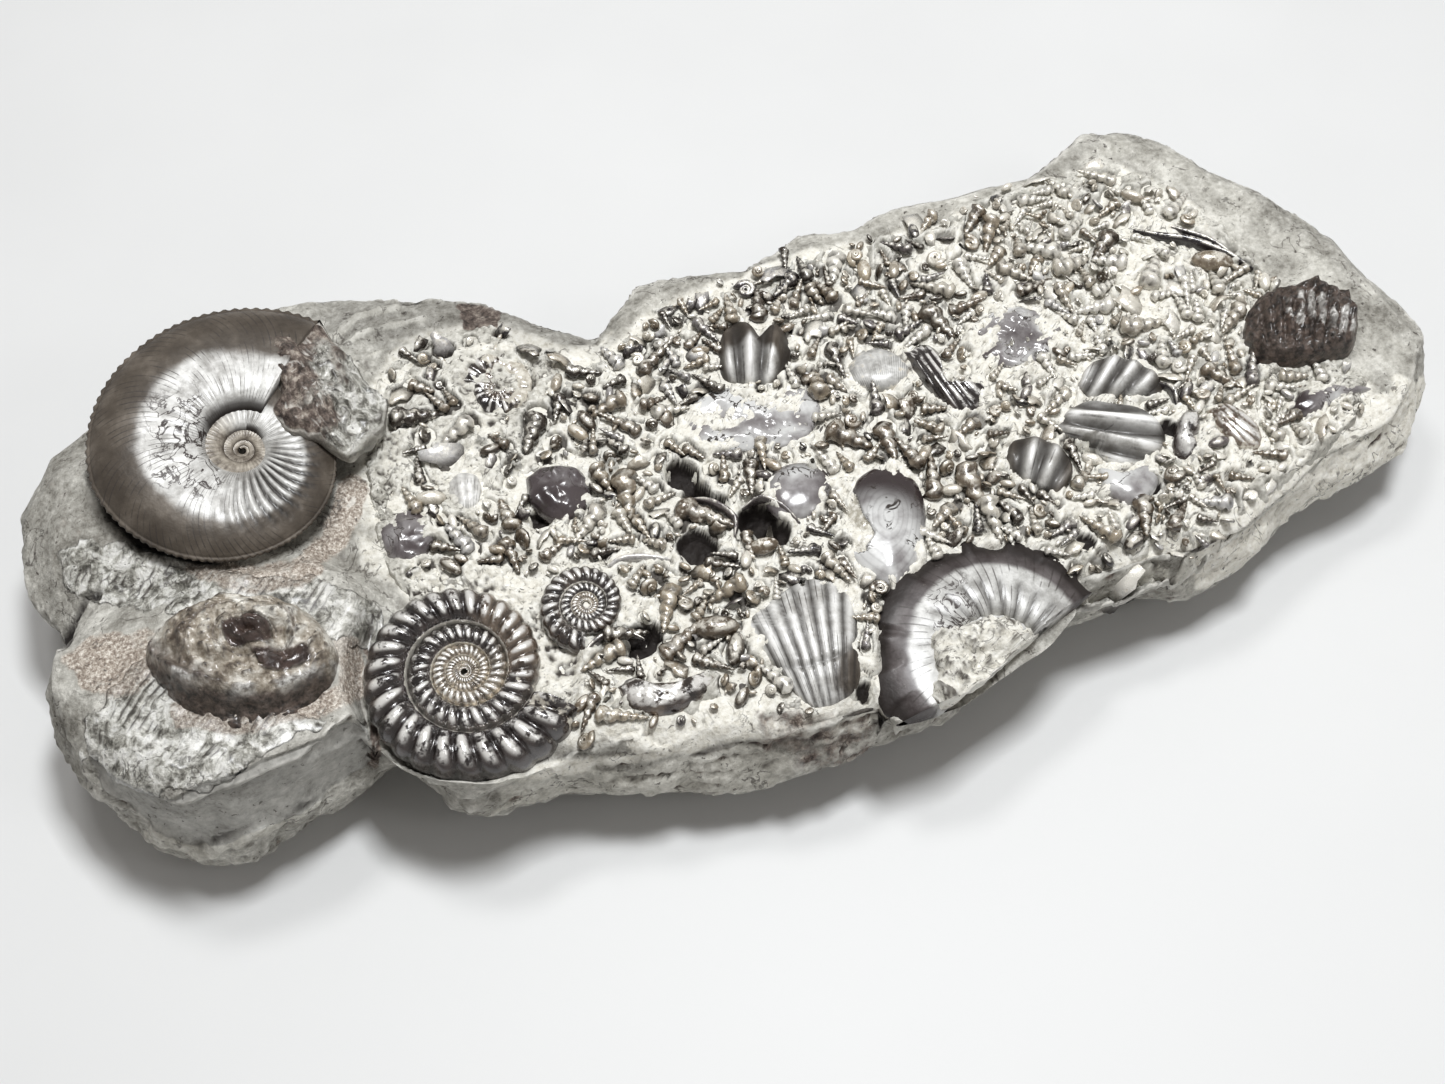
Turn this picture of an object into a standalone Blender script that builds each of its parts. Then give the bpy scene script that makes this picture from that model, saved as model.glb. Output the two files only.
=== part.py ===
# Ammonite cluster plate: a long slab of fossil limestone with two rounded lobes at its left
# end, crowded with small snail shells and with ammonites set in it.
# Modelled in metres, +Z up. The stone rests on a flat foot at Z = 0, and the origin is under
# the middle of its box. The driving dimensions below are in millimetres, and MM turns them
# into metres where they are used.

import math
import random

import bmesh
import bpy
import numpy as np
from mathutils import Matrix, Vector, noise
from mathutils.bvhtree import BVHTree

MM = 0.001
GAP = 0.3            # the gap between each shell and the stone around it
CENTRE = (8.35, 12.2)  # the middle of the stone's box, in the drawing's own X and Y
FAR = 200            # well outside the stone

# The slab seen from above, anticlockwise from the front left: x, y, and how far the wall
# leans in between the slab's belly and its rim.
SLAB_OUTLINE = (
    (-66, -16, 1), (-60, -25, 0), (-54, -31, -1), (-44, -33, 0), (-33, -36, 3), (-22, -40, 4),
    (-10, -43, 4), (3, -43, 2), (13, -42.5, 1), (23, -42.5, 0), (32, -40, 0), (40, -37.5, 0),
    (48, -34, 1), (56, -33.5, 2), (66, -34, 3), (77, -36, 3), (89, -32, 3), (103, -27, 3),
    (117, -23, 3), (127, -17, 3), (132, -9, 2), (130, 2, 1), (127, 13, 0), (122, 24, -1),
    (116, 32, -2), (109, 40, -3), (101, 51, -3), (92, 54, -3), (84, 50, -3), (70, 48, -3),
    (56, 50, -3), (45, 48, -3), (33, 50, -3), (22, 46, -3), (11, 48, -3), (1, 49, -3),
    (-8, 41, -2), (-18, 48, -3), (-29, 57, -3), (-42, 62, -3), (-56, 65, -3), (-68, 66, -2),
    (-78, 55, 0), (-80, 30, 0), (-76, 5, 0),
)
OUTLINE_STEPS = 3                    # points that round each stretch of an outline
FOOT_WIDE, FOOT_DEEP = 0.86, 0.60    # the foot's size against the belly's
FOOT_MIDDLE = (6, 6)                 # the point that the foot shrinks towards
FOOT_INSET = 2.0
FOOT_LEVELS = (-2.0, 3.0)            # the foot's wall, before it is cut flat
FOOT_CUT = 0.0                       # the height of the flat foot
# The slab's wall from the waist up: height, share of each point's lean, and inset.
SLAB_WALL = ((10, 0.0, 0.5), (14, 0.0, 0.0), (21, 0.5, 0.0), (26.5, 1.0, 0.0), (28.5, 1.0, 3.0))

# The lobe at the front left: a block with a flat top and a clean broken front face.
FRONT_LOBE_OUTLINE = (
    (-116, 8, 5), (-115, -4, 5), (-110, -14, 4), (-102, -22, 3), (-92, -26, 2), (-82, -25, 1),
    (-72, -22, 1), (-62, -17, 1), (-56, -4, 2), (-60, 12, 3), (-78, 20, 4), (-98, 19, 5),
    (-110, 16, 5),
)
FRONT_LOBE_FOOT = 0.72               # the foot's size against the belly's
FRONT_LOBE_FOOT_LEVELS = (-2.0, 2.0)
FRONT_LOBE_WALL = ((8, 0.2, 0.0), (20, 0.2, 0.0), (32, 0.9, 0.0), (35, 1.6, 1.5))
BACK_LOBE = {"middle": (-90, 32, 18.5), "half": (25.5, 26.5, 17.5)}
BACK_LOBE_SHELF = {"middle": (-70, 36, 22), "half": (24, 26, 12)}
FRONT_BENCH = {"middle": (-24, -31, 24), "half": (15, 6, 6), "turn": -12}

STONE = {
    "voxel": 2.2,
    "smoothing": (0.5, 5),       # how much, and how many times
    "triangles": 1100,           # before the small shells are fused to it
    "lumps": 1.6,                # how far the broken surface swells and sinks
    "wide_lumps": 0.055,         # turns of the noise in a millimetre
    "narrow_lumps": 0.16,
    "narrow_share": 0.6,
    "calm_top": 0.6,             # how much flatter the top is than the sides
    "colour": (0.52, 0.52, 0.48),
    "roughness": 0.85,
}
LUMP_SEGMENTS, LUMP_RINGS = 28, 16

# The crowd of small shells on the top, fused to the stone.
CROWD = {
    "seed": 11,
    "tries": 6000,
    "across": (-62, 106),    # the field that the tries fall in
    "deep": (-34, 54),
    "spacing": 6.9,
    "sides": 5,
    "sizes": (0.8, 1.25),    # the smallest and the largest against the sizes below
    "lift": 0.4,             # how far each stands clear of the stone
    "spire": {"length": 6.4, "half": 2.0, "tip": 0.3, "lie": 90, "lean": 14},
    "snail": {"length": 5.2, "half": 2.3, "tip": 0.9, "lie": 0, "lean": 20},
    "spires": 0.7,           # the share that are turreted
}
CROWD_AREA = (
    (-60, 30), (-50, -4), (-34, 2), (-30, -28), (-12, -32), (0, -26), (12, -26), (30, -14),
    (50, -20), (68, -28), (88, -22), (100, -6), (104, 22), (98, 38), (60, 42), (20, 40),
    (-12, 36), (-30, 46), (-46, 52),
)

# How far from each larger shell the small ones stay: a share of its size, or a distance.
CLEAR_OF = {"ammonite": 0.94, "dome": 0.85, "whorl_piece": 5.5, "shell_edge": 3.0}

# The coiled shells. growth is how much the shell widens in one turn, inner is the inside edge
# of a whorl against its outside edge, mouth is where the shell ends in degrees, hand is 1
# where it grows anticlockwise, and tilt is towards the front and the side. seat is the height
# where the shell is cut flat to sit in its pocket, and ledge is the height above which a
# wide shell's pocket is wider.
AMMONITES = {
    "big_smooth_ammonite": {
        "at": (-73, 32.5, 37.8), "radius": 28.0, "growth": 1.95, "inner": 0.27, "turns": 3.6,
        "mouth": 68, "hand": -1, "squash": 0.44, "ribs": 0, "rib_depth": 0.0,
        "tilt": (9, 7), "seat": 32.0, "ledge": 34, "voxel": 0.8, "triangles": 700,
        "filling": {"middle": (-60, 43, 38.5), "half": (14, 8, 6.5), "turn": -42},
        "colour": (0.60, 0.58, 0.55), "roughness": 0.35,
    },
    "worn_brown_ammonite": {
        "at": (-80.5, -4, 36), "radius": 17.0, "growth": 1.9, "inner": 0.16, "turns": 2.6,
        "mouth": 330, "hand": 1, "squash": 0.66, "ribs": 0, "rib_depth": 0.0,
        "tilt": (4, 2), "seat": 32.5, "ledge": 34.5, "voxel": 0.8, "triangles": 300,
        "colour": (0.30, 0.23, 0.18), "roughness": 0.6,
    },
    "ribbed_ammonite": {
        "at": (-49, -14, 28.5), "radius": 20.2, "growth": 1.72, "inner": 0.60, "turns": 4.6,
        "mouth": 320, "hand": 1, "squash": 0.85, "ribs": 27, "rib_depth": 0.12,
        "tilt": (9, 0), "seat": 24.0, "voxel": 0.45, "triangles": 960,
        "colour": (0.12, 0.10, 0.09), "roughness": 0.3,
    },
    "small_ribbed_ammonite": {
        "at": (-27, -9.5, 29.3), "radius": 8.8, "growth": 1.75, "inner": 0.58, "turns": 3.6,
        "mouth": 250, "hand": 1, "squash": 0.8, "ribs": 22, "rib_depth": 0.12,
        "tilt": (9, 0), "seat": 26.0, "voxel": 0.3, "triangles": 400,
        "colour": (0.16, 0.12, 0.10), "roughness": 0.3,
    },
    "half_ammonite": {
        "at": (33, -37, 24.5), "radius": 20.5, "growth": 1.65, "inner": 0.45, "turns": 3.2,
        "mouth": 205, "hand": 1, "squash": 0.42, "ribs": 26, "rib_depth": 0.05,
        "tilt": (13, 0), "seat": 19.0, "voxel": 0.6, "triangles": 400,
        "broken": (34, -40.5, 19),
        "colour": (0.45, 0.43, 0.42), "roughness": 0.3,
    },
    "edge_on_ammonite": {
        "at": (107, -2, 29), "radius": 11.0, "growth": 1.8, "inner": 0.30, "turns": 3.0,
        "mouth": 20, "hand": 1, "squash": 0.95, "ribs": 22, "rib_depth": 0.09,
        "tilt": (58, 0), "seat": 26.0, "voxel": 0.45, "triangles": 280,
        "colour": (0.13, 0.09, 0.08), "roughness": 0.45,
    },
    "old_faint_ammonite": {
        "at": (-28, 37, 27.2), "radius": 7.6, "growth": 1.7, "inner": 0.5, "turns": 3.2,
        "mouth": 150, "hand": 1, "squash": 0.45, "ribs": 22, "rib_depth": 0.10,
        "tilt": (2, 0), "seat": 25.0, "voxel": 0.35, "triangles": 150,
        "colour": (0.40, 0.39, 0.36), "roughness": 0.6,
    },
}

WHORL_STEPS = 40           # points in a turn of a smooth shell
STEPS_PER_RIB = 3
TUBE_RESOLUTION = 3

# Broken pieces of ribbed whorls: part of one turn only.
PIECE_GROWTH, PIECE_VOXEL = 1.6, 0.5
WHORL_PIECES = {
    "ribbed_piece_back": {
        "at": (19, 20, 27.5), "radius": 12.5, "inner": 0.42, "turns": 0.20, "mouth": 150,
        "squash": 0.9, "ribs": 20, "rib_depth": 0.16, "seat": 24.5, "triangles": 110,
        "colour": (0.16, 0.13, 0.13),
    },
    "ribbed_piece_middle": {
        "at": (39, 6, 27.2), "radius": 14.0, "inner": 0.60, "turns": 0.22, "mouth": 84,
        "squash": 0.8, "ribs": 34, "rib_depth": 0.14, "seat": 24.5, "triangles": 110,
        "colour": (0.20, 0.16, 0.14),
    },
    "ribbed_piece_right": {
        "at": (74, -17, 27.6), "radius": 19.5, "inner": 0.33, "turns": 0.24, "mouth": 142,
        "squash": 0.56, "ribs": 26, "rib_depth": 0.12, "seat": 24.0, "triangles": 180,
        "colour": (0.20, 0.18, 0.18),
    },
    "ribbed_piece_small": {
        "at": (54, -18, 28.0), "radius": 10.2, "inner": 0.42, "turns": 0.19, "mouth": 125,
        "squash": 0.9, "ribs": 26, "rib_depth": 0.22, "seat": 25.2, "triangles": 90,
        "colour": (0.10, 0.09, 0.09),
    },
    "body_chamber_piece": {
        "at": (6, -44, 26.0), "radius": 24.0, "inner": 0.40, "turns": 0.135, "mouth": 122,
        "squash": 0.72, "ribs": 60, "rib_depth": 0.03, "seat": 21.5, "triangles": 120,
        "colour": (0.50, 0.49, 0.48),
    },
}

# Smooth shells, each a low dome: middle, half sizes, turn about Z, and tilt to the front.
DOMES = {
    "smooth_oval_shell": {
        "at": (23, -11.5, 27.6), "half": (7.6, 9.6, 4.2), "turn": 14, "tilt": 8, "seat": 25.5,
        "colour": (0.38, 0.34, 0.35),
    },
    "pale_valve": {
        "at": (10, 11, 27.4), "half": (9.0, 7.0, 3.0), "turn": -10, "tilt": 4, "seat": 25.5,
        "colour": (0.55, 0.55, 0.56),
    },
    "purple_valve": {
        "at": (59, 15, 27.8), "half": (6.6, 5.4, 2.6), "turn": 20, "tilt": 4, "seat": 25.8,
        "colour": (0.33, 0.27, 0.28),
    },
    "dark_valve": {
        "at": (8, -1, 27.6), "half": (5.8, 4.0, 2.8), "turn": -25, "tilt": 6, "seat": 25.8,
        "colour": (0.22, 0.21, 0.22),
    },
}

# The long curved shell edge: points along its crest, its half width and its height.
SHELL_EDGE = {
    "name": "long_shell_edge",
    "crest": ((88, 29, 28.6), (94, 27, 29.5), (101, 22.5, 29.8), (107, 16, 28.8)),
    "half_width": 1.5,
    "seat": 26.2,
    "colour": (0.16, 0.14, 0.15),
}
EDGE_RESOLUTION = 2
DOME_SEGMENTS, DOME_RINGS = 12, 8
GLOSSY = 0.3

# The pockets: upright prisms, open at the top.
POCKET_TOP = 60
MANY_SIDES, FEW_SIDES = 20, 12     # round an ammonite, and round a smaller piece
BAND_SPARE = 2.5     # how far over a pocket's band the shell's points still count
BAND_LAP = 0.4       # how far one band runs into the next
OPEN_WAY = (3, -9)   # straight out of the stone's front edge
BREAK_BOX = 120      # a cutter wider than any shell
CAP_WELD = 0.01      # points this close are one on a curve's caps
WELD = 0.002         # and on the finished stone


def clear_scene():
    for thing in list(bpy.data.objects):
        bpy.data.objects.remove(thing, do_unlink=True)


def new_collection(name):
    group = bpy.data.collections.new(name)
    bpy.context.scene.collection.children.link(group)
    return group


def add_object(group, name, mesh):
    thing = bpy.data.objects.new(name, mesh)
    group.objects.link(thing)
    return thing


def drawn_to_model(x, y, z=0.0):
    """A point of the drawing, in millimetres, as a point of the model in metres."""
    return Vector((x - CENTRE[0], y - CENTRE[1], z)) * MM


def bake(thing):
    """Replace an object's mesh or curve by what its modifiers make of it."""
    graph = bpy.context.evaluated_depsgraph_get()
    graph.update()
    mesh = bpy.data.meshes.new_from_object(thing.evaluated_get(graph))
    thing.modifiers.clear()
    thing.data = mesh
    return thing


def curve_to_mesh(group, thing):
    """A curve as a mesh object with its caps welded. The curve itself is removed."""
    graph = bpy.context.evaluated_depsgraph_get()
    graph.update()
    mesh = bpy.data.meshes.new_from_object(thing.evaluated_get(graph))
    cage = bmesh.new()
    cage.from_mesh(mesh)
    bmesh.ops.remove_doubles(cage, verts=cage.verts, dist=CAP_WELD * MM)
    bmesh.ops.recalc_face_normals(cage, faces=cage.faces)
    cage.to_mesh(mesh)
    cage.free()
    solid = add_object(group, thing.name, mesh)
    solid.matrix_world = thing.matrix_world.copy()
    name = thing.name
    bpy.data.objects.remove(thing, do_unlink=True)
    solid.name = name
    return solid


def remesh(thing, voxel):
    modifier = thing.modifiers.new("Remesh", "REMESH")
    modifier.mode = "VOXEL"
    modifier.voxel_size = voxel * MM
    return bake(thing)


def smooth(thing, factor, times):
    modifier = thing.modifiers.new("Smooth", "SMOOTH")
    modifier.factor = factor
    modifier.iterations = times
    return bake(thing)


def decimate(thing, triangles):
    thing.data.calc_loop_triangles()
    modifier = thing.modifiers.new("Decimate", "DECIMATE")
    modifier.ratio = min(1.0, triangles / max(1, len(thing.data.loop_triangles)))
    modifier.use_collapse_triangulate = True
    return bake(thing)


def boolean(thing, other, operation, use_self=False):
    modifier = thing.modifiers.new(operation.title(), "BOOLEAN")
    modifier.operation = operation
    modifier.solver = "EXACT"
    modifier.use_self = use_self
    modifier.object = other
    return bake(thing)


def hide_cutter(thing):
    thing.hide_render = True
    thing.display_type = "WIRE"


def rounded(outline, steps):
    """A closed outline of (x, y, lean) as an even Catmull-Rom curve through its points."""
    points = [Vector(p) for p in outline]
    many = []
    for i, point in enumerate(points):
        before, after, last = points[i - 1], points[(i + 1) % len(points)], points[(i + 2) % len(points)]
        for k in range(steps):
            t = k / steps
            many.append(0.5 * (
                2 * point + (after - before) * t
                + (2 * before - 5 * point + 4 * after - last) * t * t
                + (3 * point - before - 3 * after + last) * t * t * t
            ))
    return many


def inset_ring(points, share, shift=0.0):
    """The outline moved in along its normals by each point's lean times share, plus shift."""
    ring = []
    for i, point in enumerate(points):
        along = (points[(i + 1) % len(points)] - points[i - 1]).to_2d().normalized()
        inward = Vector((-along.y, along.x))
        ring.append(point.to_2d() + inward * (point.z * share + shift))
    return ring


def loft(group, name, rings):
    """A closed body through rings of the same number of points, each with its height."""
    cage = bmesh.new()
    loops = [[cage.verts.new(drawn_to_model(p.x, p.y, z)) for p in ring] for ring, z in rings]
    count = len(loops[0])
    for low, high in zip(loops, loops[1:]):
        for i in range(count):
            cage.faces.new((low[i], low[(i + 1) % count], high[(i + 1) % count], high[i]))
    cage.faces.new(list(reversed(loops[0])))
    cage.faces.new(loops[-1])
    bmesh.ops.triangulate(cage, faces=[f for f in cage.faces if len(f.verts) > 4])
    bmesh.ops.recalc_face_normals(cage, faces=cage.faces)
    mesh = bpy.data.meshes.new(name)
    cage.to_mesh(mesh)
    cage.free()
    return add_object(group, name, mesh)


def lump(cage, spec):
    """Add an egg-shaped lump to a cage, in the model's own place."""
    place = (
        Matrix.Translation(drawn_to_model(*spec["middle"]))
        @ Matrix.Rotation(math.radians(spec.get("turn", 0)), 4, "Z")
        @ Matrix.Diagonal([h * MM for h in spec["half"]] + [1.0])
    )
    bmesh.ops.create_uvsphere(
        cage, u_segments=LUMP_SEGMENTS, v_segments=LUMP_RINGS, radius=1.0, matrix=place
    )


def slab(group):
    belly = rounded(SLAB_OUTLINE, OUTLINE_STEPS)
    middle = Vector(FOOT_MIDDLE)
    foot = []
    for point in inset_ring(belly, 0.0, FOOT_INSET):
        out = point - middle
        foot.append(middle + Vector((out.x * FOOT_WIDE, out.y * FOOT_DEEP)))
    rings = [(foot, height) for height in FOOT_LEVELS]
    rings += [(inset_ring(belly, share, inset), height) for height, share, inset in SLAB_WALL]
    return loft(group, "slab", rings)


def front_lobe(group):
    belly = rounded(FRONT_LOBE_OUTLINE, OUTLINE_STEPS)
    middle = sum((p.to_2d() for p in belly), Vector((0, 0))) / len(belly)
    foot = [middle + (p.to_2d() - middle) * FRONT_LOBE_FOOT for p in belly]
    rings = [(foot, height) for height in FRONT_LOBE_FOOT_LEVELS]
    rings += [(inset_ring(belly, share, inset), height) for height, share, inset in FRONT_LOBE_WALL]
    return loft(group, "front lobe", rings)


def joined_mesh(group, name, things, lumps):
    """The given objects and egg-shaped lumps as one mesh of overlapping closed bodies."""
    cage = bmesh.new()
    for thing in things:
        cage.from_mesh(thing.data)
    for spec in lumps:
        lump(cage, spec)
    mesh = bpy.data.meshes.new(name)
    cage.to_mesh(mesh)
    cage.free()
    for thing in things:
        bpy.data.objects.remove(thing, do_unlink=True)
    return add_object(group, name, mesh)


def roughen(thing):
    """Swell and sink the stone's surface as broken rock, more on its sides than on its top."""
    for vertex in thing.data.vertices:
        spot = vertex.co / MM + Vector((*CENTRE, 0))
        wide = noise.noise(spot * STONE["wide_lumps"])
        narrow = noise.noise(spot * STONE["narrow_lumps"] + Vector((7, 3, 1)))
        calm = 1.0 - STONE["calm_top"] * max(0.0, vertex.normal.z)
        swell = (wide + STONE["narrow_share"] * narrow) * STONE["lumps"] * calm
        vertex.co += vertex.normal * (swell * MM)


def inside(point, polygon):
    """Whether a point of the drawing is inside a polygon."""
    x, y = point
    odd = False
    for (ax, ay), (bx, by) in zip(polygon, polygon[1:] + polygon[:1]):
        if (ay > y) != (by > y) and x < ax + (y - ay) * (bx - ax) / (by - ay):
            odd = not odd
    return odd


def kept_clear():
    """Circles of the drawing that the small shells stay out of: x, y, radius."""
    circles = [(*a["at"][:2], a["radius"] * CLEAR_OF["ammonite"]) for a in AMMONITES.values()]
    for piece in WHORL_PIECES.values():
        angle = math.radians(piece["mouth"] - 180 * piece["turns"])
        reach = piece["radius"] * (1 + piece["inner"]) / 2
        x, y = piece["at"][:2]
        middle = (x + reach * math.cos(angle), y + reach * math.sin(angle))
        circles.append((*middle, CLEAR_OF["whorl_piece"]))
    circles += [(*d["at"][:2], max(d["half"][:2]) * CLEAR_OF["dome"]) for d in DOMES.values()]
    circles += [(x, y, CLEAR_OF["shell_edge"]) for x, y, _ in SHELL_EDGE["crest"]]
    return circles


def crowd_places():
    """Where the small shells lie, evenly scattered and clear of the larger shells."""
    dice = random.Random(CROWD["seed"])
    circles = kept_clear()
    places = []
    for _ in range(CROWD["tries"]):
        x, y = dice.uniform(*CROWD["across"]), dice.uniform(*CROWD["deep"])
        if not inside((x, y), CROWD_AREA):
            continue
        if any(math.hypot(x - cx, y - cy) < r for cx, cy, r in circles):
            continue
        if any(math.hypot(x - px, y - py) < CROWD["spacing"] for px, py in places):
            continue
        places.append((x, y))
    return places


def add_small_shells(group, stone):
    """Fuse a lying spire or an upright round snail to the stone at each place of the crowd."""
    dice = random.Random(CROWD["seed"] + 1)
    ground = BVHTree.FromPolygons(
        [v.co for v in stone.data.vertices], [p.vertices for p in stone.data.polygons]
    )
    cage = bmesh.new()
    for x, y in crowd_places():
        hit = ground.ray_cast(drawn_to_model(x, y, FAR), Vector((0, 0, -1)))[0]
        if hit is None:
            continue
        size = dice.uniform(*CROWD["sizes"])
        turn = Matrix.Rotation(dice.uniform(0, 2 * math.pi), 4, "Z")
        place = Matrix.Translation(hit + Vector((0, 0, CROWD["lift"] * MM))) @ turn
        kind = CROWD["spire"] if dice.random() < CROWD["spires"] else CROWD["snail"]
        lean = kind["lie"] + dice.uniform(-kind["lean"], kind["lean"])
        bmesh.ops.create_cone(
            cage, cap_ends=True, segments=CROWD["sides"], radius1=kind["half"] * size * MM,
            radius2=kind["tip"] * MM, depth=kind["length"] * size * MM,
            matrix=place @ Matrix.Rotation(math.radians(lean), 4, "Y"),
        )
    mesh = bpy.data.meshes.new("small shells")
    cage.to_mesh(mesh)
    cage.free()
    shells = add_object(group, "small shells", mesh)
    hide_cutter(shells)
    boolean(stone, shells, "UNION", use_self=True)


def box_cutter(group, name, low, high):
    """A plain box between two corners of the drawing."""
    cage = bmesh.new()
    bmesh.ops.create_cube(cage, size=1.0)
    a, b = drawn_to_model(*low), drawn_to_model(*high)
    bmesh.ops.scale(cage, vec=b - a, verts=cage.verts)
    bmesh.ops.translate(cage, vec=(a + b) / 2, verts=cage.verts)
    mesh = bpy.data.meshes.new(name)
    cage.to_mesh(mesh)
    cage.free()
    cutter = add_object(group, name, mesh)
    hide_cutter(cutter)
    return cutter


def cut_flat(cutters, thing, height):
    """Cut an object off flat below a height of the drawing."""
    below = box_cutter(cutters, thing.name + " below", (-FAR, -FAR, -FAR), (FAR, FAR, height))
    return boolean(thing, below, "DIFFERENCE")


def clean(thing):
    """Close pinholes and drop the loose crumbs that a pocket's wall has cut from the shells."""
    cage = bmesh.new()
    cage.from_mesh(thing.data)
    bmesh.ops.remove_doubles(cage, verts=cage.verts, dist=WELD * MM)
    bmesh.ops.dissolve_degenerate(cage, edges=cage.edges, dist=WELD * MM)
    rim = [edge for edge in cage.edges if edge.is_boundary]
    bmesh.ops.holes_fill(cage, edges=rim, sides=0)
    unseen = set(cage.verts)
    islands = []
    while unseen:
        island, front = set(), [unseen.pop()]
        while front:
            vert = front.pop()
            island.add(vert)
            near = {edge.other_vert(vert) for edge in vert.link_edges} & unseen
            unseen -= near
            front.extend(near)
        islands.append(island)
    islands.sort(key=len)
    for crumb in islands[:-1]:
        bmesh.ops.delete(cage, geom=list(crumb), context="VERTS")
    bmesh.ops.triangulate(cage, faces=cage.faces)
    bmesh.ops.recalc_face_normals(cage, faces=cage.faces)
    cage.to_mesh(thing.data)
    cage.free()


def paint(thing, colour, roughness):
    material = bpy.data.materials.new(thing.name + " finish")
    material.use_nodes = True
    shader = material.node_tree.nodes["Principled BSDF"]
    shader.inputs["Base Color"].default_value = (*colour, 1.0)
    shader.inputs["Roughness"].default_value = roughness
    shader.inputs["Metallic"].default_value = 0.0
    thing.data.materials.clear()
    thing.data.materials.append(material)


def make_stone(parts, cutters):
    things = [slab(parts), front_lobe(parts)]
    lumps = [BACK_LOBE, BACK_LOBE_SHELF, FRONT_BENCH]
    stone = joined_mesh(parts, "stone_matrix", things, lumps)
    remesh(stone, STONE["voxel"])
    smooth(stone, *STONE["smoothing"])
    roughen(stone)
    decimate(stone, STONE["triangles"])
    cut_flat(cutters, stone, FOOT_CUT)
    add_small_shells(cutters, stone)
    return stone


def spiral_curve(name, spec):
    """A coiled tube as a curve: the whorl's width follows the spiral, and its ribs swell it."""
    growth, inner, turns = spec.get("growth", PIECE_GROWTH), spec["inner"], spec["turns"]
    hand = spec.get("hand", 1)
    per_turn = max(WHORL_STEPS, STEPS_PER_RIB * spec["ribs"])
    count = max(8, round(per_turn * turns))
    curve = bpy.data.curves.new(name, "CURVE")
    curve.dimensions = "3D"
    curve.bevel_depth = MM
    curve.bevel_resolution = TUBE_RESOLUTION
    curve.use_fill_caps = True
    spline = curve.splines.new("POLY")
    spline.points.add(count)
    for k in range(count + 1):
        back = turns * (1 - k / count)
        angle = math.radians(spec["mouth"]) - hand * 2 * math.pi * back
        outer = spec["radius"] * growth ** -back
        tube = outer * (1 - inner) / 2
        rib = 1 + spec["rib_depth"] * math.cos(2 * math.pi * spec["ribs"] * back)
        reach = (outer - tube) * MM
        spline.points[k].co = (reach * math.cos(angle), reach * math.sin(angle), 0, 1)
        spline.points[k].radius = tube * rib
    return bpy.data.objects.new(name, curve)


def place_matrix(spec):
    """Where a shell lies: squashed along its own axis, tilted, and moved to its place."""
    front, side = spec.get("tilt", (0, 0))
    return (
        Matrix.Translation(drawn_to_model(*spec["at"]))
        @ Matrix.Rotation(math.radians(front), 4, "X")
        @ Matrix.Rotation(math.radians(side), 4, "Y")
        @ Matrix.Diagonal((1, 1, spec["squash"], 1))
    )


def break_off(cutters, shell, spec):
    """Cut away what lies in front of the stone's broken edge."""
    x, y, angle = spec
    mesh = bpy.data.meshes.new("in front")
    cage = bmesh.new()
    bmesh.ops.create_cube(cage, size=BREAK_BOX * MM)
    bmesh.ops.translate(cage, vec=(0, -BREAK_BOX / 2 * MM, 0), verts=cage.verts)
    cage.to_mesh(mesh)
    cage.free()
    cutter = add_object(cutters, shell.name + " in front", mesh)
    hide_cutter(cutter)
    cutter.location = drawn_to_model(x, y)
    cutter.rotation_euler.z = math.radians(angle)
    return boolean(shell, cutter, "DIFFERENCE")


def make_whorls(parts, cutters, name, spec):
    """One coiled shell or broken whorl, cut off flat where it sits in the stone."""
    drawn = spiral_curve(name, spec)
    parts.objects.link(drawn)
    shell = curve_to_mesh(parts, drawn)
    shell.data.transform(place_matrix(spec))
    if "filling" in spec:
        shell = joined_mesh(parts, name, [shell], [spec["filling"]])
    remesh(shell, spec.get("voxel", PIECE_VOXEL))
    decimate(shell, spec["triangles"])
    cut_flat(cutters, shell, spec["seat"])
    if "broken" in spec:
        break_off(cutters, shell, spec["broken"])
    paint(shell, spec["colour"], spec.get("roughness", GLOSSY))
    return shell


def make_dome(parts, cutters, name, spec):
    cage = bmesh.new()
    bmesh.ops.create_uvsphere(cage, u_segments=DOME_SEGMENTS, v_segments=DOME_RINGS, radius=1.0)
    mesh = bpy.data.meshes.new(name)
    cage.to_mesh(mesh)
    cage.free()
    mesh.transform(
        Matrix.Translation(drawn_to_model(*spec["at"]))
        @ Matrix.Rotation(math.radians(spec["tilt"]), 4, "X")
        @ Matrix.Rotation(math.radians(spec["turn"]), 4, "Z")
        @ Matrix.Diagonal([h * MM for h in spec["half"]] + [1.0])
    )
    dome = add_object(parts, name, mesh)
    cut_flat(cutters, dome, spec["seat"])
    paint(dome, spec["colour"], GLOSSY)
    return dome


def make_shell_edge(parts, cutters, spec):
    curve = bpy.data.curves.new(spec["name"], "CURVE")
    curve.dimensions = "3D"
    curve.bevel_depth = spec["half_width"] * MM
    curve.bevel_resolution = EDGE_RESOLUTION
    curve.use_fill_caps = True
    spline = curve.splines.new("POLY")
    spline.points.add(len(spec["crest"]) - 1)
    for point, place in zip(spline.points, spec["crest"]):
        point.co = (*drawn_to_model(*place), 1)
    drawn = add_object(parts, spec["name"], curve)
    edge = curve_to_mesh(parts, drawn)
    cut_flat(cutters, edge, spec["seat"])
    paint(edge, spec["colour"], GLOSSY)
    return edge


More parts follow.
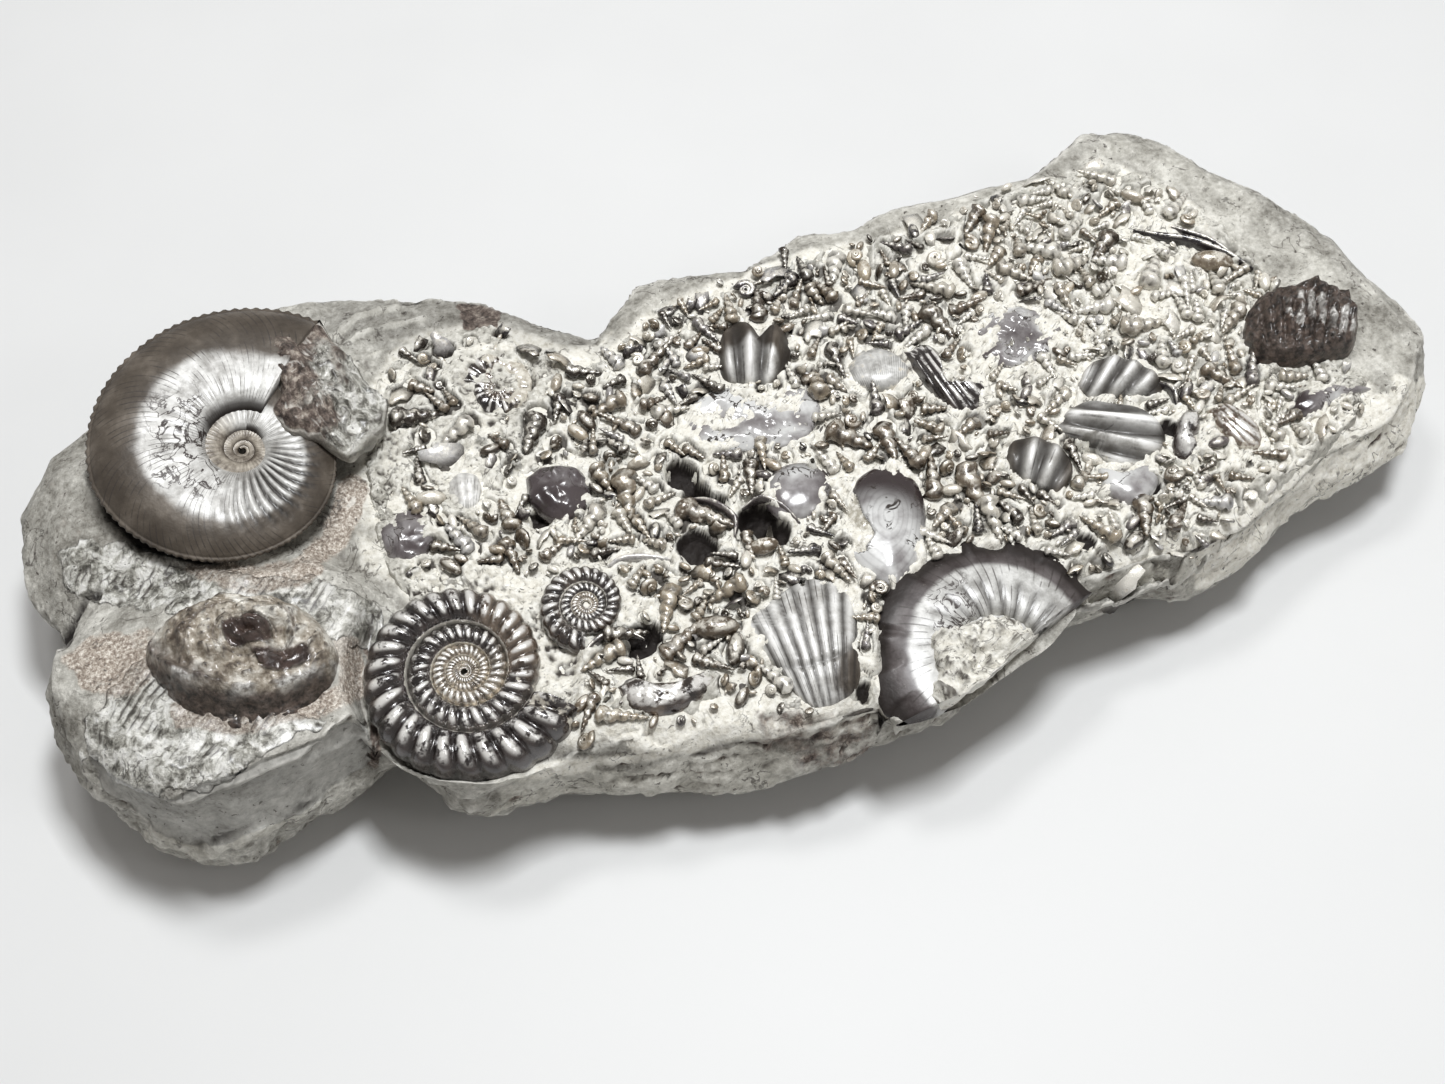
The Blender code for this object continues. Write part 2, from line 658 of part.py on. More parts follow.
def pocket(cutters, shell, sides, spec):
    """Upright prisms around a shell with the gap all round, one for each band of its height."""
    bands = (spec["ledge"], POCKET_TOP) if "ledge" in spec else (POCKET_TOP,)
    # A shell at the stone's broken edge has no stone in front of it.
    open_way = OPEN_WAY if "broken" in spec else (0, 0)
    points = np.array([v.co for v in shell.data.vertices]) / MM
    points = np.concatenate([points, points + (*open_way, 0)])
    angles = np.arange(sides) * 2 * math.pi / sides
    ways = np.stack([np.cos(angles), np.sin(angles)], axis=1)
    low = spec["seat"] - GAP
    made = []
    for i, high in enumerate(bands):
        last = i == len(bands) - 1
        here = points if last else points[points[:, 2] < high + BAND_SPARE]
        reach = (here[:, :2] @ ways.T).max(axis=0) + GAP
        ring = []
        for k in range(sides):
            n = (k + 1) % sides
            ring.append(np.linalg.solve(ways[[k, n]], reach[[k, n]]) * MM)
        cage = bmesh.new()
        base = [cage.verts.new((*p, low * MM)) for p in ring]
        lid = [cage.verts.new((*p, high * MM)) for p in ring]
        cage.faces.new(list(reversed(base)))
        cage.faces.new(lid)
        for k in range(sides):
            n = (k + 1) % sides
            cage.faces.new((base[k], base[n], lid[n], lid[k]))
        bmesh.ops.recalc_face_normals(cage, faces=cage.faces)
        mesh = bpy.data.meshes.new("pocket")
        cage.to_mesh(mesh)
        cage.free()
        cutter = add_object(cutters, f"{shell.name} pocket {i + 1}", mesh)
        hide_cutter(cutter)
        made.append(cutter)
        low = high - BAND_LAP
    return made


def main():
    clear_scene()
    parts = new_collection("Ammonite cluster plate")
    cutters = new_collection("Cutters")
    stone = make_stone(parts, cutters)
    pockets = []
    for name, spec in AMMONITES.items():
        shell = make_whorls(parts, cutters, name, spec)
        pockets += pocket(cutters, shell, MANY_SIDES, spec)
    for name, spec in WHORL_PIECES.items():
        shell = make_whorls(parts, cutters, name, spec)
        pockets += pocket(cutters, shell, FEW_SIDES, spec)
    for name, spec in DOMES.items():
        shell = make_dome(parts, cutters, name, spec)
        pockets += pocket(cutters, shell, FEW_SIDES, spec)
    edge = make_shell_edge(parts, cutters, SHELL_EDGE)
    pockets += pocket(cutters, edge, FEW_SIDES, SHELL_EDGE)
    for cutter in pockets:
        boolean(stone, cutter, "DIFFERENCE")
    clean(stone)
    paint(stone, STONE["colour"], STONE["roughness"])


main()
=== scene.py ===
import math
import random

import bpy
import bmesh
import numpy as np
from mathutils import Matrix, Vector
from mathutils.bvhtree import BVHTree


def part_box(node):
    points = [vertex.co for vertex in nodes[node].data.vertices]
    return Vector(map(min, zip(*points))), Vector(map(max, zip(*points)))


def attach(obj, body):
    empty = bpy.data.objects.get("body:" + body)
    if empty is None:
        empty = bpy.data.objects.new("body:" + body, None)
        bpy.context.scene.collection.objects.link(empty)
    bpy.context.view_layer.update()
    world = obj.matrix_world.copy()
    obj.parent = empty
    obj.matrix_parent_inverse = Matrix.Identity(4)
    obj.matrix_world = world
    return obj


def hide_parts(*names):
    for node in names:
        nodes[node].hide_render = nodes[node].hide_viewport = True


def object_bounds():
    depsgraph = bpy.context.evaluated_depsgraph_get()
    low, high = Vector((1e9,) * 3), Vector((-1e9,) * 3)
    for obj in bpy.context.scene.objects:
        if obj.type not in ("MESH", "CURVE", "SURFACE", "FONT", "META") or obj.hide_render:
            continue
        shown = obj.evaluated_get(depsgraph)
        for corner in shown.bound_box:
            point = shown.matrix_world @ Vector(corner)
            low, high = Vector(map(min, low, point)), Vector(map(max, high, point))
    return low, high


# Ammonite cluster plate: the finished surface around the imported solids.
# Sizes are millimetres in the frame's own axes, and mm turns them into metres.
# Pixels are those of the 1445 x 1084 photograph.

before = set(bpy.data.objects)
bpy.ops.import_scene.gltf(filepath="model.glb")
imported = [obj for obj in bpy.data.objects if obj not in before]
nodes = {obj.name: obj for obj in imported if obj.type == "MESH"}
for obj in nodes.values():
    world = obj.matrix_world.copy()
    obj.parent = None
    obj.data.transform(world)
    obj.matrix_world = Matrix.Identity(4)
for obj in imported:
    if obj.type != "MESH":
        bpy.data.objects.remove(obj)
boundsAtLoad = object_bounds()
boxLow, boxHigh = (np.array(corner) * 1000 for corner in boundsAtLoad)
mm = 0.001

camera = {"azimuth": -20, "elevation": 60, "distance": 345, "lens": 50, "sensor": 36,
          "target": (-8.35, -12.2, 18), "picture": (1445, 1084)}


# small helpers

def say(text):
    print("plate:", text)


def smoothStep(low, high, value):
    t = np.clip((value - low) / (high - low), 0, 1)
    return t * t * (3 - 2 * t)


def scramble(x, y, z, seed):
    # a number from 0 to 1 for each whole-number cell
    mixed = x * 73856093 ^ y * 19349663 ^ z * 83492791 ^ (seed + 1) * 2654435761
    mixed = (mixed ^ (mixed >> 15)) * 2246822519 & 0xFFFFFFFF
    mixed = (mixed ^ (mixed >> 13)) * 3266489917 & 0xFFFFFFFF
    return ((mixed ^ (mixed >> 16)) & 0xFFFFFF) / 0xFFFFFF


def lumpsAt(points, size, seed=0, octaves=1, fade=0.5):
    # smooth lumps about size across, from -1 to 1, with finer ones on top
    total, share = np.zeros(len(points)), 1.0
    for octave in range(octaves):
        p = points / size
        cell = np.floor(p).astype(np.int64)
        t = p - cell
        t = t * t * (3 - 2 * t)
        for corner in np.ndindex(2, 2, 2):
            weight = np.prod(np.where(corner, t, 1 - t), axis=1)
            total += share * weight * (scramble(*(cell + corner).T, seed + octave) * 2 - 1)
        size, share = size * 0.47, share * fade
    return total


def cellsAt(points, size, seed=0):
    # distance to the nearest and the next nearest of scattered points, in cell sizes
    p = points / size
    cell = np.floor(p).astype(np.int64)
    near = np.full((2, len(points)), 9.0)
    for step in np.ndindex(3, 3, 3):
        here = cell + np.array(step) - 1
        spot = here + np.stack([scramble(*here.T, seed + k) for k in range(3)], axis=1)
        far = np.linalg.norm(spot - p, axis=1)
        near[1] = np.minimum(near[1], np.maximum(near[0], far))
        near[0] = np.minimum(near[0], far)
    return near


def curveThrough(points, count):
    # an even smooth curve through a few points
    p = np.array(points, float)
    p = np.vstack([2 * p[0] - p[1], p, 2 * p[-1] - p[-2]])
    at = np.linspace(0, len(points) - 1 - 1e-9, count)
    i, t = at.astype(int), (at % 1)[:, None]
    a, b, c, d = p[i], p[i + 1], p[i + 2], p[i + 3]
    return 0.5 * (2 * b + (c - a) * t + (2 * a - 5 * b + 4 * c - d) * t ** 2
                  + (3 * b - a - 3 * c + d) * t ** 3)


# meshes from arrays

def buildPiece(name, points, faces, material, replaced=(), values=None, smooth=True):
    # faces is a list of arrays of corner numbers, three or four to a row
    faces = [np.asarray(f, np.int64) for f in faces if len(f)]
    corners = np.concatenate([f.ravel() for f in faces])
    sizes = np.concatenate([np.full(len(f), f.shape[1]) for f in faces])
    mesh = bpy.data.meshes.new(name)
    mesh.vertices.add(len(points))
    mesh.vertices.foreach_set("co", (np.asarray(points, float) * mm).astype(np.float32).ravel())
    mesh.loops.add(len(corners))
    mesh.loops.foreach_set("vertex_index", corners.astype(np.int32))
    mesh.polygons.add(len(sizes))
    mesh.polygons.foreach_set("loop_start", (np.cumsum(sizes) - sizes).astype(np.int32))
    mesh.polygons.foreach_set("use_smooth", np.full(len(sizes), smooth))
    mesh.update(calc_edges=True)
    for key, value in (values or {}).items():
        mesh.attributes.new(key, "FLOAT", "POINT").data.foreach_set(
            "value", np.asarray(value, np.float32))
    piece = bpy.data.objects.new(name, mesh)
    bpy.context.scene.collection.objects.link(piece)
    mesh.materials.append(material)
    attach(piece, "root")
    if replaced:
        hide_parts(*replaced)
    return piece


def gridFaces(rows, columns, closed=True):
    # quads of a grid of points, whose rows close round when closed
    across = np.arange(columns if closed else columns - 1)
    along = np.arange(rows - 1)[:, None]
    a = along * columns + across
    b = along * columns + (across + 1) % columns
    return np.stack([a, b, b + columns, a + columns], axis=-1).reshape(-1, 4)


def fanFaces(ring, tip, flip=False):
    # triangles from a ring of points to one tip
    ring = np.asarray(ring)
    after = np.roll(ring, -1)
    tips = np.full(len(ring), tip)
    return np.stack([after, ring, tips] if flip else [ring, after, tips], axis=1)


def cappedTube(points, rows, columns):
    # a closed body from rows of rings, with a fan on each end
    points = points.reshape(-1, 3)
    first, last = points[:columns].mean(axis=0), points[-columns:].mean(axis=0)
    count = len(points)
    faces = [gridFaces(rows, columns),
             fanFaces(np.arange(columns), count, flip=True),
             fanFaces(np.arange(count - columns, count), count + 1)]
    return np.vstack([points, first, last]), faces


def treeOf(piece):
    mesh = piece.data
    polygons = [tuple(p.vertices) for p in mesh.polygons]
    return BVHTree.FromPolygons([tuple(p) for p in pointsOf(piece)], polygons)


def pointsOf(thing):
    co = np.zeros(len(thing.data.vertices) * 3)
    thing.data.vertices.foreach_get("co", co)
    return co.reshape(-1, 3) * 1000


# the camera, and the line through a pixel

def cameraFrame():
    a, e = math.radians(camera["azimuth"]), math.radians(camera["elevation"])
    back = Vector((math.sin(a) * math.cos(e), -math.cos(a) * math.cos(e), math.sin(e)))
    right = Vector((math.cos(a), math.sin(a), 0))
    place = Vector(camera["target"]) + back * camera["distance"]
    return place, right, back.cross(right), back


def focusLength():
    return camera["lens"] / camera["sensor"] * camera["picture"][0]


def pixelLine(pixel):
    place, right, up, back = cameraFrame()
    wide, high = camera["picture"]
    way = right * (pixel[0] - wide / 2) + up * (high / 2 - pixel[1]) - back * focusLength()
    return place, way.normalized()


def toPixels(points):
    place, right, up, back = (np.array(v) for v in cameraFrame())
    wide, high = camera["picture"]
    way = points - place
    depth = -(way @ back)
    return wide / 2 + focusLength() * (way @ right) / depth, high / 2 - focusLength() * (way @ up) / depth


def atHeight(pixel, height):
    place, way = pixelLine(pixel)
    return place + way * ((height - place.z) / way.z)


def onSurface(pixel, tree):
    # where the line through a pixel meets a surface, and its outward direction there
    place, way = pixelLine(pixel)
    hit, normal, _, _ = tree.ray_cast(place, way)
    return hit, normal


def makeCamera():
    lens = bpy.data.cameras.new("camera")
    lens.lens, lens.sensor_width = camera["lens"], camera["sensor"]
    lens.clip_start, lens.clip_end = 0.01, 10
    holder = bpy.data.objects.new("camera", lens)
    bpy.context.scene.collection.objects.link(holder)
    place, _, _, back = cameraFrame()
    holder.location = place * mm
    holder.rotation_mode = "QUATERNION"
    holder.rotation_quaternion = (-back).to_track_quat("-Z", "Y")
    bpy.context.scene.camera = holder


# materials

class Finish:
    # a Principled material with a short way to add and join nodes
    def __init__(self, name, **settings):
        self.material = bpy.data.materials.new(name)
        self.material.use_nodes = True
        self.tree = self.material.node_tree
        self.shader = self.tree.nodes["Principled BSDF"]
        for socket, value in settings.items():
            self.shader.inputs[socket.replace("_", " ")].default_value = value
        self.coords = self.tree.nodes.new("ShaderNodeTexCoord").outputs["Object"]

    def put(self, socket, value):
        if isinstance(value, bpy.types.NodeSocket):
            self.tree.links.new(value, socket)
        elif isinstance(value, tuple) and len(value) == 3:
            socket.default_value = (*value, 1)
        else:
            socket.default_value = value

    def noise(self, size, detail=4, rough=0.55, warp=0.0):
        # soft noise with lumps about size mm across, from 0 to 1
        node = self.tree.nodes.new("ShaderNodeTexNoise")
        node.inputs["Scale"].default_value = 1000 / size
        node.inputs["Detail"].default_value = detail
        node.inputs["Roughness"].default_value = rough
        node.inputs["Distortion"].default_value = warp
        self.tree.links.new(self.coords, node.inputs["Vector"])
        return node.outputs["Fac"]

    def cells(self, size, feature="F1"):
        node = self.tree.nodes.new("ShaderNodeTexVoronoi")
        node.feature = feature
        node.inputs["Scale"].default_value = 1000 / size
        self.tree.links.new(self.coords, node.inputs["Vector"])
        return node.outputs["Distance"]

    def pointy(self):
        # under a half in dents and over a half on ridges
        return self.tree.nodes.new("ShaderNodeNewGeometry").outputs["Pointiness"]

    def upward(self):
        # one where the surface faces up, and nothing where it's upright
        node = self.tree.nodes.new("ShaderNodeSeparateXYZ")
        self.tree.links.new(self.tree.nodes.new("ShaderNodeNewGeometry").outputs["Normal"], node.inputs[0])
        return node.outputs["Z"]

    def attribute(self, name):
        node = self.tree.nodes.new("ShaderNodeAttribute")
        node.attribute_name = name
        return node.outputs["Fac"]

    def math(self, operation, a, b=0.0, clamp=False):
        node = self.tree.nodes.new("ShaderNodeMath")
        node.operation, node.use_clamp = operation, clamp
        self.put(node.inputs[0], a)
        self.put(node.inputs[1], b)
        return node.outputs[0]

    def span(self, value, low, high, toLow=0.0, toHigh=1.0):
        # the value's range from low to high, as toLow to toHigh, eased at both ends
        node = self.tree.nodes.new("ShaderNodeMapRange")
        node.interpolation_type = "SMOOTHSTEP"
        for socket, number in zip(node.inputs, (value, low, high, toLow, toHigh)):
            self.put(socket, number)
        return node.outputs["Result"]

    def blotchy(self, name, size, strength):
        # an attribute with its edges broken up by noise
        return self.math("ADD", self.attribute(name),
                         self.math("MULTIPLY", self.math("SUBTRACT", self.noise(size, 4), 0.5), strength))

    def veins(self, size, width, warp=0.8):
        # thin lines that wander like cracks
        away = self.math("ABSOLUTE", self.math("SUBTRACT", self.noise(size, 4, 0.55, warp), 0.5))
        return self.span(away, width * 0.3, width, 1.0, 0.0)

    def mix(self, factor, a, b, kind="MIX"):
        node = self.tree.nodes.new("ShaderNodeMix")
        node.data_type, node.blend_type = "RGBA", kind
        self.put(node.inputs["Factor"], factor)
        self.put(node.inputs[6], a)
        self.put(node.inputs[7], b)
        return node.outputs[2]

    def ramp(self, value, *stops):
        node = self.tree.nodes.new("ShaderNodeValToRGB")
        while len(node.color_ramp.elements) < len(stops):
            node.color_ramp.elements.new(1.0)
        for element, (place, colour) in zip(node.color_ramp.elements, stops):
            element.position, element.color = place, (*colour, 1)
        self.tree.links.new(value, node.inputs["Fac"])
        return node.outputs["Color"]

    def finish(self, colour, roughness, *bumps):
        # bumps are pairs of a height value and how deep it is in mm
        self.put(self.shader.inputs["Base Color"], colour)
        self.put(self.shader.inputs["Roughness"], roughness)
        normal = None
        for height, depth in bumps:
            node = self.tree.nodes.new("ShaderNodeBump")
            node.inputs["Distance"].default_value = depth * mm
            self.tree.links.new(height, node.inputs["Height"])
            if normal:
                self.tree.links.new(normal, node.inputs["Normal"])
            normal = node.outputs["Normal"]
        if normal:
            self.tree.links.new(normal, self.shader.inputs["Normal"])
        return self.material


def rockFinish():
    f = Finish("broken limestone", Coat_Roughness=0.3)
    fine = f.noise(1.2, 8, 0.72)
    wide = f.math("ADD", f.math("MULTIPLY", fine, 0.5), f.math("MULTIPLY", f.noise(9, 6, 0.62), 0.5))
    grey = f.ramp(wide, (0.38, (0.18, 0.170, 0.147)), (0.47, (0.34, 0.328, 0.295)), (0.54, (0.46, 0.448, 0.41)),
                  (0.63, (0.68, 0.665, 0.615)))
    cream = f.ramp(fine, (0.30, (0.52, 0.49, 0.42)), (0.45, (0.76, 0.735, 0.66)), (0.65, (0.90, 0.885, 0.83)))
    pale = f.ramp(wide, (0.38, (0.34, 0.328, 0.292)), (0.48, (0.52, 0.505, 0.455)), (0.60, (0.72, 0.705, 0.65)))
    gold = f.ramp(f.noise(0.55, 4, 0.75), (0.35, (0.17, 0.135, 0.112)), (0.5, (0.41, 0.355, 0.30)),
                  (0.65, (0.80, 0.755, 0.69)))
    brown = f.ramp(f.noise(1.6, 6, 0.7), (0.36, (0.045, 0.034, 0.030)), (0.5, (0.17, 0.135, 0.115)),
                   (0.64, (0.42, 0.37, 0.32)))
    silver = f.ramp(f.noise(2.6, 9, 0.72, 0.5), (0.38, (0.09, 0.085, 0.070)), (0.46, (0.36, 0.35, 0.31)),
                    (0.53, (0.74, 0.73, 0.68)), (0.60, (0.93, 0.92, 0.88)))
    plain = f.ramp(wide, (0.38, (0.27, 0.264, 0.245)), (0.50, (0.39, 0.384, 0.36)), (0.64, (0.52, 0.51, 0.48)))
    colour = f.mix(f.span(f.blotchy("pale", 9, 0.6), 0.3, 0.7), grey, pale)
    colour = f.mix(f.span(f.blotchy("cream", 7, 0.8), 0.3, 0.7), colour, cream)
    colour = f.mix(f.span(f.blotchy("brown", 3, 0.9), 0.35, 0.65), colour, brown)
    colour = f.mix(f.span(f.blotchy("silver", 2.2, 0.9), 0.35, 0.65), colour, silver)
    colour = f.mix(f.span(f.blotchy("gold", 3.5, 1.9), 0.35, 0.85), colour, gold)
    colour = f.mix(f.math("MULTIPLY", f.span(f.blotchy("smooth", 3, 0.5), 0.4, 0.6), 0.9), colour, plain)
    specks = f.math("MULTIPLY", f.span(f.noise(0.9, 3, 0.6, 0.6), 0.62, 0.68), f.span(f.noise(6, 3), 0.4, 0.6, 0.25, 0.9))
    colour = f.mix(specks, colour, (0.07, 0.060, 0.052))
    cracks = f.math("MULTIPLY", f.veins(7, 0.016), f.span(f.noise(8, 3), 0.50, 0.58))
    colour = f.mix(f.math("MULTIPLY", cracks, f.span(f.attribute("smooth"), 0, 1, 0.65, 0.2)), colour, (0.06, 0.05, 0.043))
    # painted shade in the dents and painted highlight on the ridges, from the pointiness of the mesh
    colour = f.mix(f.span(f.pointy(), 0.42, 0.495, 0.85, 0.0), colour, (0.055, 0.044, 0.036))
    colour = f.mix(f.span(f.pointy(), 0.51, 0.58, 0.0, 0.5), colour, (0.88, 0.865, 0.81))
    # painted shade in the dents and in the grooves round the small shells
    colour = f.mix(f.attribute("shade_and_dark_rim"), colour, (0.045, 0.036, 0.030))
    # painted shade: near black in the cavities, cracks, seams and pits, and a darker grey on the grey plateau
    colour = f.mix(f.attribute("shade_and_dark"), colour, (0.022, 0.017, 0.015))
    shine = f.span(f.blotchy("silver", 2.2, 0.9), 0.35, 0.65)
    f.put(f.shader.inputs["Coat Weight"], f.math("MULTIPLY", shine, 0.8))
    rough = f.math("SUBTRACT", f.span(f.noise(2.2, 4), 0.3, 0.7, 0.5, 0.8), f.math("MULTIPLY", shine, 0.22))
    even = f.span(f.attribute("smooth"), 0.2, 0.8, 1.0, 0.15)
    crinkle = f.math("MULTIPLY", f.noise(2.4, 8, 0.66, 1.2), shine)
    return f.finish(colour, rough, (f.math("MULTIPLY", f.noise(4.5, 9, 0.62), even), 1.1), (crinkle, 1.0),
                    (f.math("MULTIPLY", f.noise(0.7, 5, 0.65), even), 0.16))


def darkShellFinish():
    f = Finish("dark glossy shell", Coat_Weight=1.0, Coat_Roughness=0.19, Coat_IOR=1.95)
    grain = f.noise(2.2, 5, 0.6)
    dark = f.ramp(grain, (0.35, (0.016, 0.011, 0.011)), (0.65, (0.070, 0.052, 0.048)))
    bronze = f.ramp(grain, (0.35, (0.11, 0.078, 0.056)), (0.65, (0.33, 0.26, 0.20)))
    colour = f.mix(f.span(f.blotchy("bronze", 4, 0.8), 0.3, 0.75), dark, bronze)
    golden = f.ramp(f.noise(1.4, 5, 0.65), (0.38, (0.13, 0.095, 0.065)), (0.62, (0.62, 0.54, 0.43)))
    colour = f.mix(f.math("MULTIPLY", f.attribute("inmost"), 0.85), colour, golden)
    # painted highlight: the rib crests that face up are painted a silvery white, in patches
    crest = f.math("MULTIPLY", f.span(f.attribute("groove_and_shade"), 0.05, 0.42, 1.0, 0.0), f.span(f.upward(), 0.60, 0.90))
    crest = f.math("MULTIPLY", crest, f.span(f.noise(2.2, 5, 0.65), 0.40, 0.52))
    colour = f.mix(f.math("MULTIPLY", crest, 0.9), colour, (0.95, 0.935, 0.90))
    # painted shade in the grooves between the ribs and along the seams
    colour = f.mix(f.math("MULTIPLY", f.attribute("groove_and_shade"), 0.85), colour, (0.012, 0.009, 0.009))
    colour = f.mix(f.span(f.blotchy("seam", 0.8, 0.5), 0.45, 0.6), colour, (0.88, 0.85, 0.77))
    dust = f.span(f.blotchy("dust", 1.6, 1.3), 0.45, 0.6)
    colour = f.mix(dust, colour, f.ramp(f.noise(1.0, 5, 0.7), (0.3, (0.34, 0.30, 0.24)), (0.7, (0.80, 0.77, 0.69))))
    f.put(f.shader.inputs["Metallic"], f.span(dust, 0, 1, 0.35, 0.0))
    rough = f.math("ADD", f.span(f.noise(1.4, 4), 0.35, 0.75, 0.14, 0.34), f.math("MULTIPLY", dust, 0.4))
    return f.finish(colour, rough, (f.noise(1.6, 6, 0.6), 0.22), (f.noise(0.35, 3), 0.03))


def silverShellFinish():
    f = Finish("silvery shell", Coat_Weight=0.6, Coat_Roughness=0.2, Coat_IOR=1.7)
    grain = f.noise(3.2, 7, 0.66)
    silver = f.ramp(grain, (0.36, (0.42, 0.405, 0.38)), (0.47, (0.62, 0.61, 0.585)), (0.6, (0.84, 0.835, 0.81)))
    brown = f.ramp(f.noise(5, 5, 0.6), (0.35, (0.072, 0.059, 0.047)), (0.52, (0.105, 0.088, 0.071)),
                   (0.68, (0.165, 0.142, 0.118)))
    purple = f.ramp(f.noise(5, 5, 0.6), (0.35, (0.040, 0.030, 0.029)), (0.65, (0.125, 0.110, 0.108)))
    brown = f.mix(f.attribute("purple"), brown, purple)
    silver = f.mix(f.attribute("dim"), silver, f.ramp(grain, (0.36, (0.28, 0.273, 0.257)), (0.6, (0.55, 0.545, 0.525))))
    edge = f.math("ADD", f.attribute("band"), f.math("MULTIPLY", f.math("SUBTRACT", f.noise(3.5, 5, 0.6), 0.5), 0.7))
    colour = f.mix(f.span(edge, 0.15, 0.85), silver, brown)
    # fine dark growth lines, here and there
    fine = f.math("SINE", f.math("MULTIPLY", f.attribute("along"), 2 * math.pi * 2.7))
    fine = f.math("MULTIPLY", f.span(fine, 0.7, 0.97), f.span(f.noise(4, 4, 0.6), 0.42, 0.6))
    colour = f.mix(f.math("MULTIPLY", fine, 0.75), colour, (0.05, 0.042, 0.038))
    # painted shade in the grooves and folds
    colour = f.mix(f.math("MULTIPLY", f.attribute("groove_and_shade"), 0.9), colour, (0.035, 0.030, 0.026))
    # painted highlight along the crests of the ribbed pieces
    colour = f.mix(f.attribute("crest"), colour, (0.97, 0.965, 0.95))
    # thin dark lines that wander like the seams of the chambers
    sutures = f.math("MULTIPLY", f.veins(3.0, 0.033), f.attribute("sutures"))
    colour = f.mix(sutures, colour, (0.04, 0.030, 0.026))
    colour = f.mix(f.attribute("seam"), colour, (0.50, 0.47, 0.42))
    dust = f.span(f.blotchy("dust", 1.6, 1.3), 0.45, 0.6)
    colour = f.mix(dust, colour, f.ramp(f.noise(1.0, 5, 0.7), (0.3, (0.34, 0.30, 0.24)), (0.7, (0.80, 0.77, 0.69))))
    inner = f.ramp(f.noise(1.6, 4, 0.6), (0.35, (0.12, 0.098, 0.076)), (0.65, (0.44, 0.40, 0.34)))
    # painted shade in the grooves of the inner whorls
    inner = f.mix(f.math("MULTIPLY", f.attribute("groove_and_shade"), 0.8), inner, (0.045, 0.035, 0.028))
    colour = f.mix(f.attribute("inmost"), colour, inner)
    # painted shade on the steep inner wall of the last whorl, and the darker colour of the broken shell's rim
    colour = f.mix(f.attribute("shade_and_dark_rim"), colour, (0.020, 0.015, 0.013))
    f.put(f.shader.inputs["Metallic"], f.span(dust, 0, 1, 0.12, 0.0))
    f.put(f.shader.inputs["Coat Weight"], f.span(edge, 0.15, 0.85, 0.18, 0.12))
    rough = f.math("ADD", f.span(f.noise(2.4, 4), 0.3, 0.75, 0.46, 0.62), f.math("MULTIPLY", dust, 0.2))
    return f.finish(colour, rough, (f.noise(3.0, 6, 0.6), 0.2))


def brownShellFinish():
    f = Finish("worn brown shell", Metallic=0.1, Coat_Weight=0.5, Coat_Roughness=0.2)
    grain = f.math("ADD", f.math("MULTIPLY", f.noise(5, 8, 0.64), 0.6), f.math("MULTIPLY", f.noise(1.4, 6, 0.7), 0.4))
    colour = f.ramp(grain, (0.36, (0.13, 0.103, 0.080)), (0.44, (0.32, 0.277, 0.222)),
                    (0.51, (0.52, 0.475, 0.405)), (0.58, (0.86, 0.835, 0.765)))
    colour = f.mix(f.attribute("glazed"), colour, f.ramp(f.noise(2, 4), (0.3, (0.045, 0.034, 0.032)), (0.7, (0.13, 0.095, 0.082))))
    # painted shade in the dents, from the pointiness of the mesh
    colour = f.mix(f.span(f.pointy(), 0.42, 0.495, 0.85, 0.0), colour, (0.035, 0.026, 0.021))
    # painted shade in the sunken middle, the seams and below the ledge, with the darker tone of the edge-on shell
    dark = f.ramp(f.noise(1.4, 6, 0.7), (0.40, (0.018, 0.013, 0.011)), (0.60, (0.12, 0.088, 0.072)))
    colour = f.mix(f.attribute("shade_and_dark"), colour, dark)
    # a silvery bloom on the crests of the ribs, and a painted highlight along the ridge of the worn shell
    bloomAndHighlight = f.math("MULTIPLY", f.attribute("frost_and_highlight"), f.span(f.attribute("groove_and_shade"), 0.1, 0.6, 1.0, 0.0))
    colour = f.mix(bloomAndHighlight, colour, f.ramp(f.noise(1.2, 6, 0.7), (0.40, (0.20, 0.185, 0.17)), (0.60, (0.74, 0.73, 0.70))))
    rough = f.math("SUBTRACT", f.span(f.noise(3, 4), 0.35, 0.7, 0.3, 0.62), f.math("MULTIPLY", f.attribute("glazed"), 0.2))
    even = f.span(f.attribute("glazed"), 0, 1, 1.0, 0.15)
    return f.finish(colour, rough, (f.math("MULTIPLY", f.noise(3.6, 9, 0.66), even), 0.9), (f.cells(0.5), 0.05))


def snailFinish(name, *stops):
    # the tone value of each small shell picks its colour from the stops
    f = Finish(name, Coat_Weight=0.9, Coat_Roughness=0.24, Coat_IOR=1.65)
    colour = f.ramp(f.blotchy("tone", 1.1, 0.6), *stops)
    # painted highlight: pale in patches on top, where the light from above falls; painted shade in the seams and where
    # it goes down into the stone
    wornAndHighlight = f.math("MULTIPLY", f.span(f.upward(), 0.60, 0.95), f.span(f.noise(1.4, 5, 0.65), 0.40, 0.58))
    colour = f.mix(f.math("MULTIPLY", wornAndHighlight, 0.75), colour, (0.90, 0.865, 0.78))
    colour = f.mix(f.math("MULTIPLY", f.attribute("groove_and_shade"), 0.9), colour, (0.026, 0.019, 0.015))
    dust = f.span(f.blotchy("dust", 1.2, 1.2), 0.5, 0.62)
    colour = f.mix(dust, colour, f.ramp(f.noise(0.9, 5, 0.7), (0.3, (0.40, 0.36, 0.30)), (0.7, (0.84, 0.81, 0.74))))
    f.put(f.shader.inputs["Metallic"], f.span(dust, 0, 1, 0.25, 0.0))
    rough = f.math("ADD", f.span(f.noise(1.2, 3), 0.35, 0.7, 0.16, 0.36), f.math("MULTIPLY", dust, 0.4))
    return f.finish(colour, rough, (f.noise(1.0, 5, 0.6), 0.2))


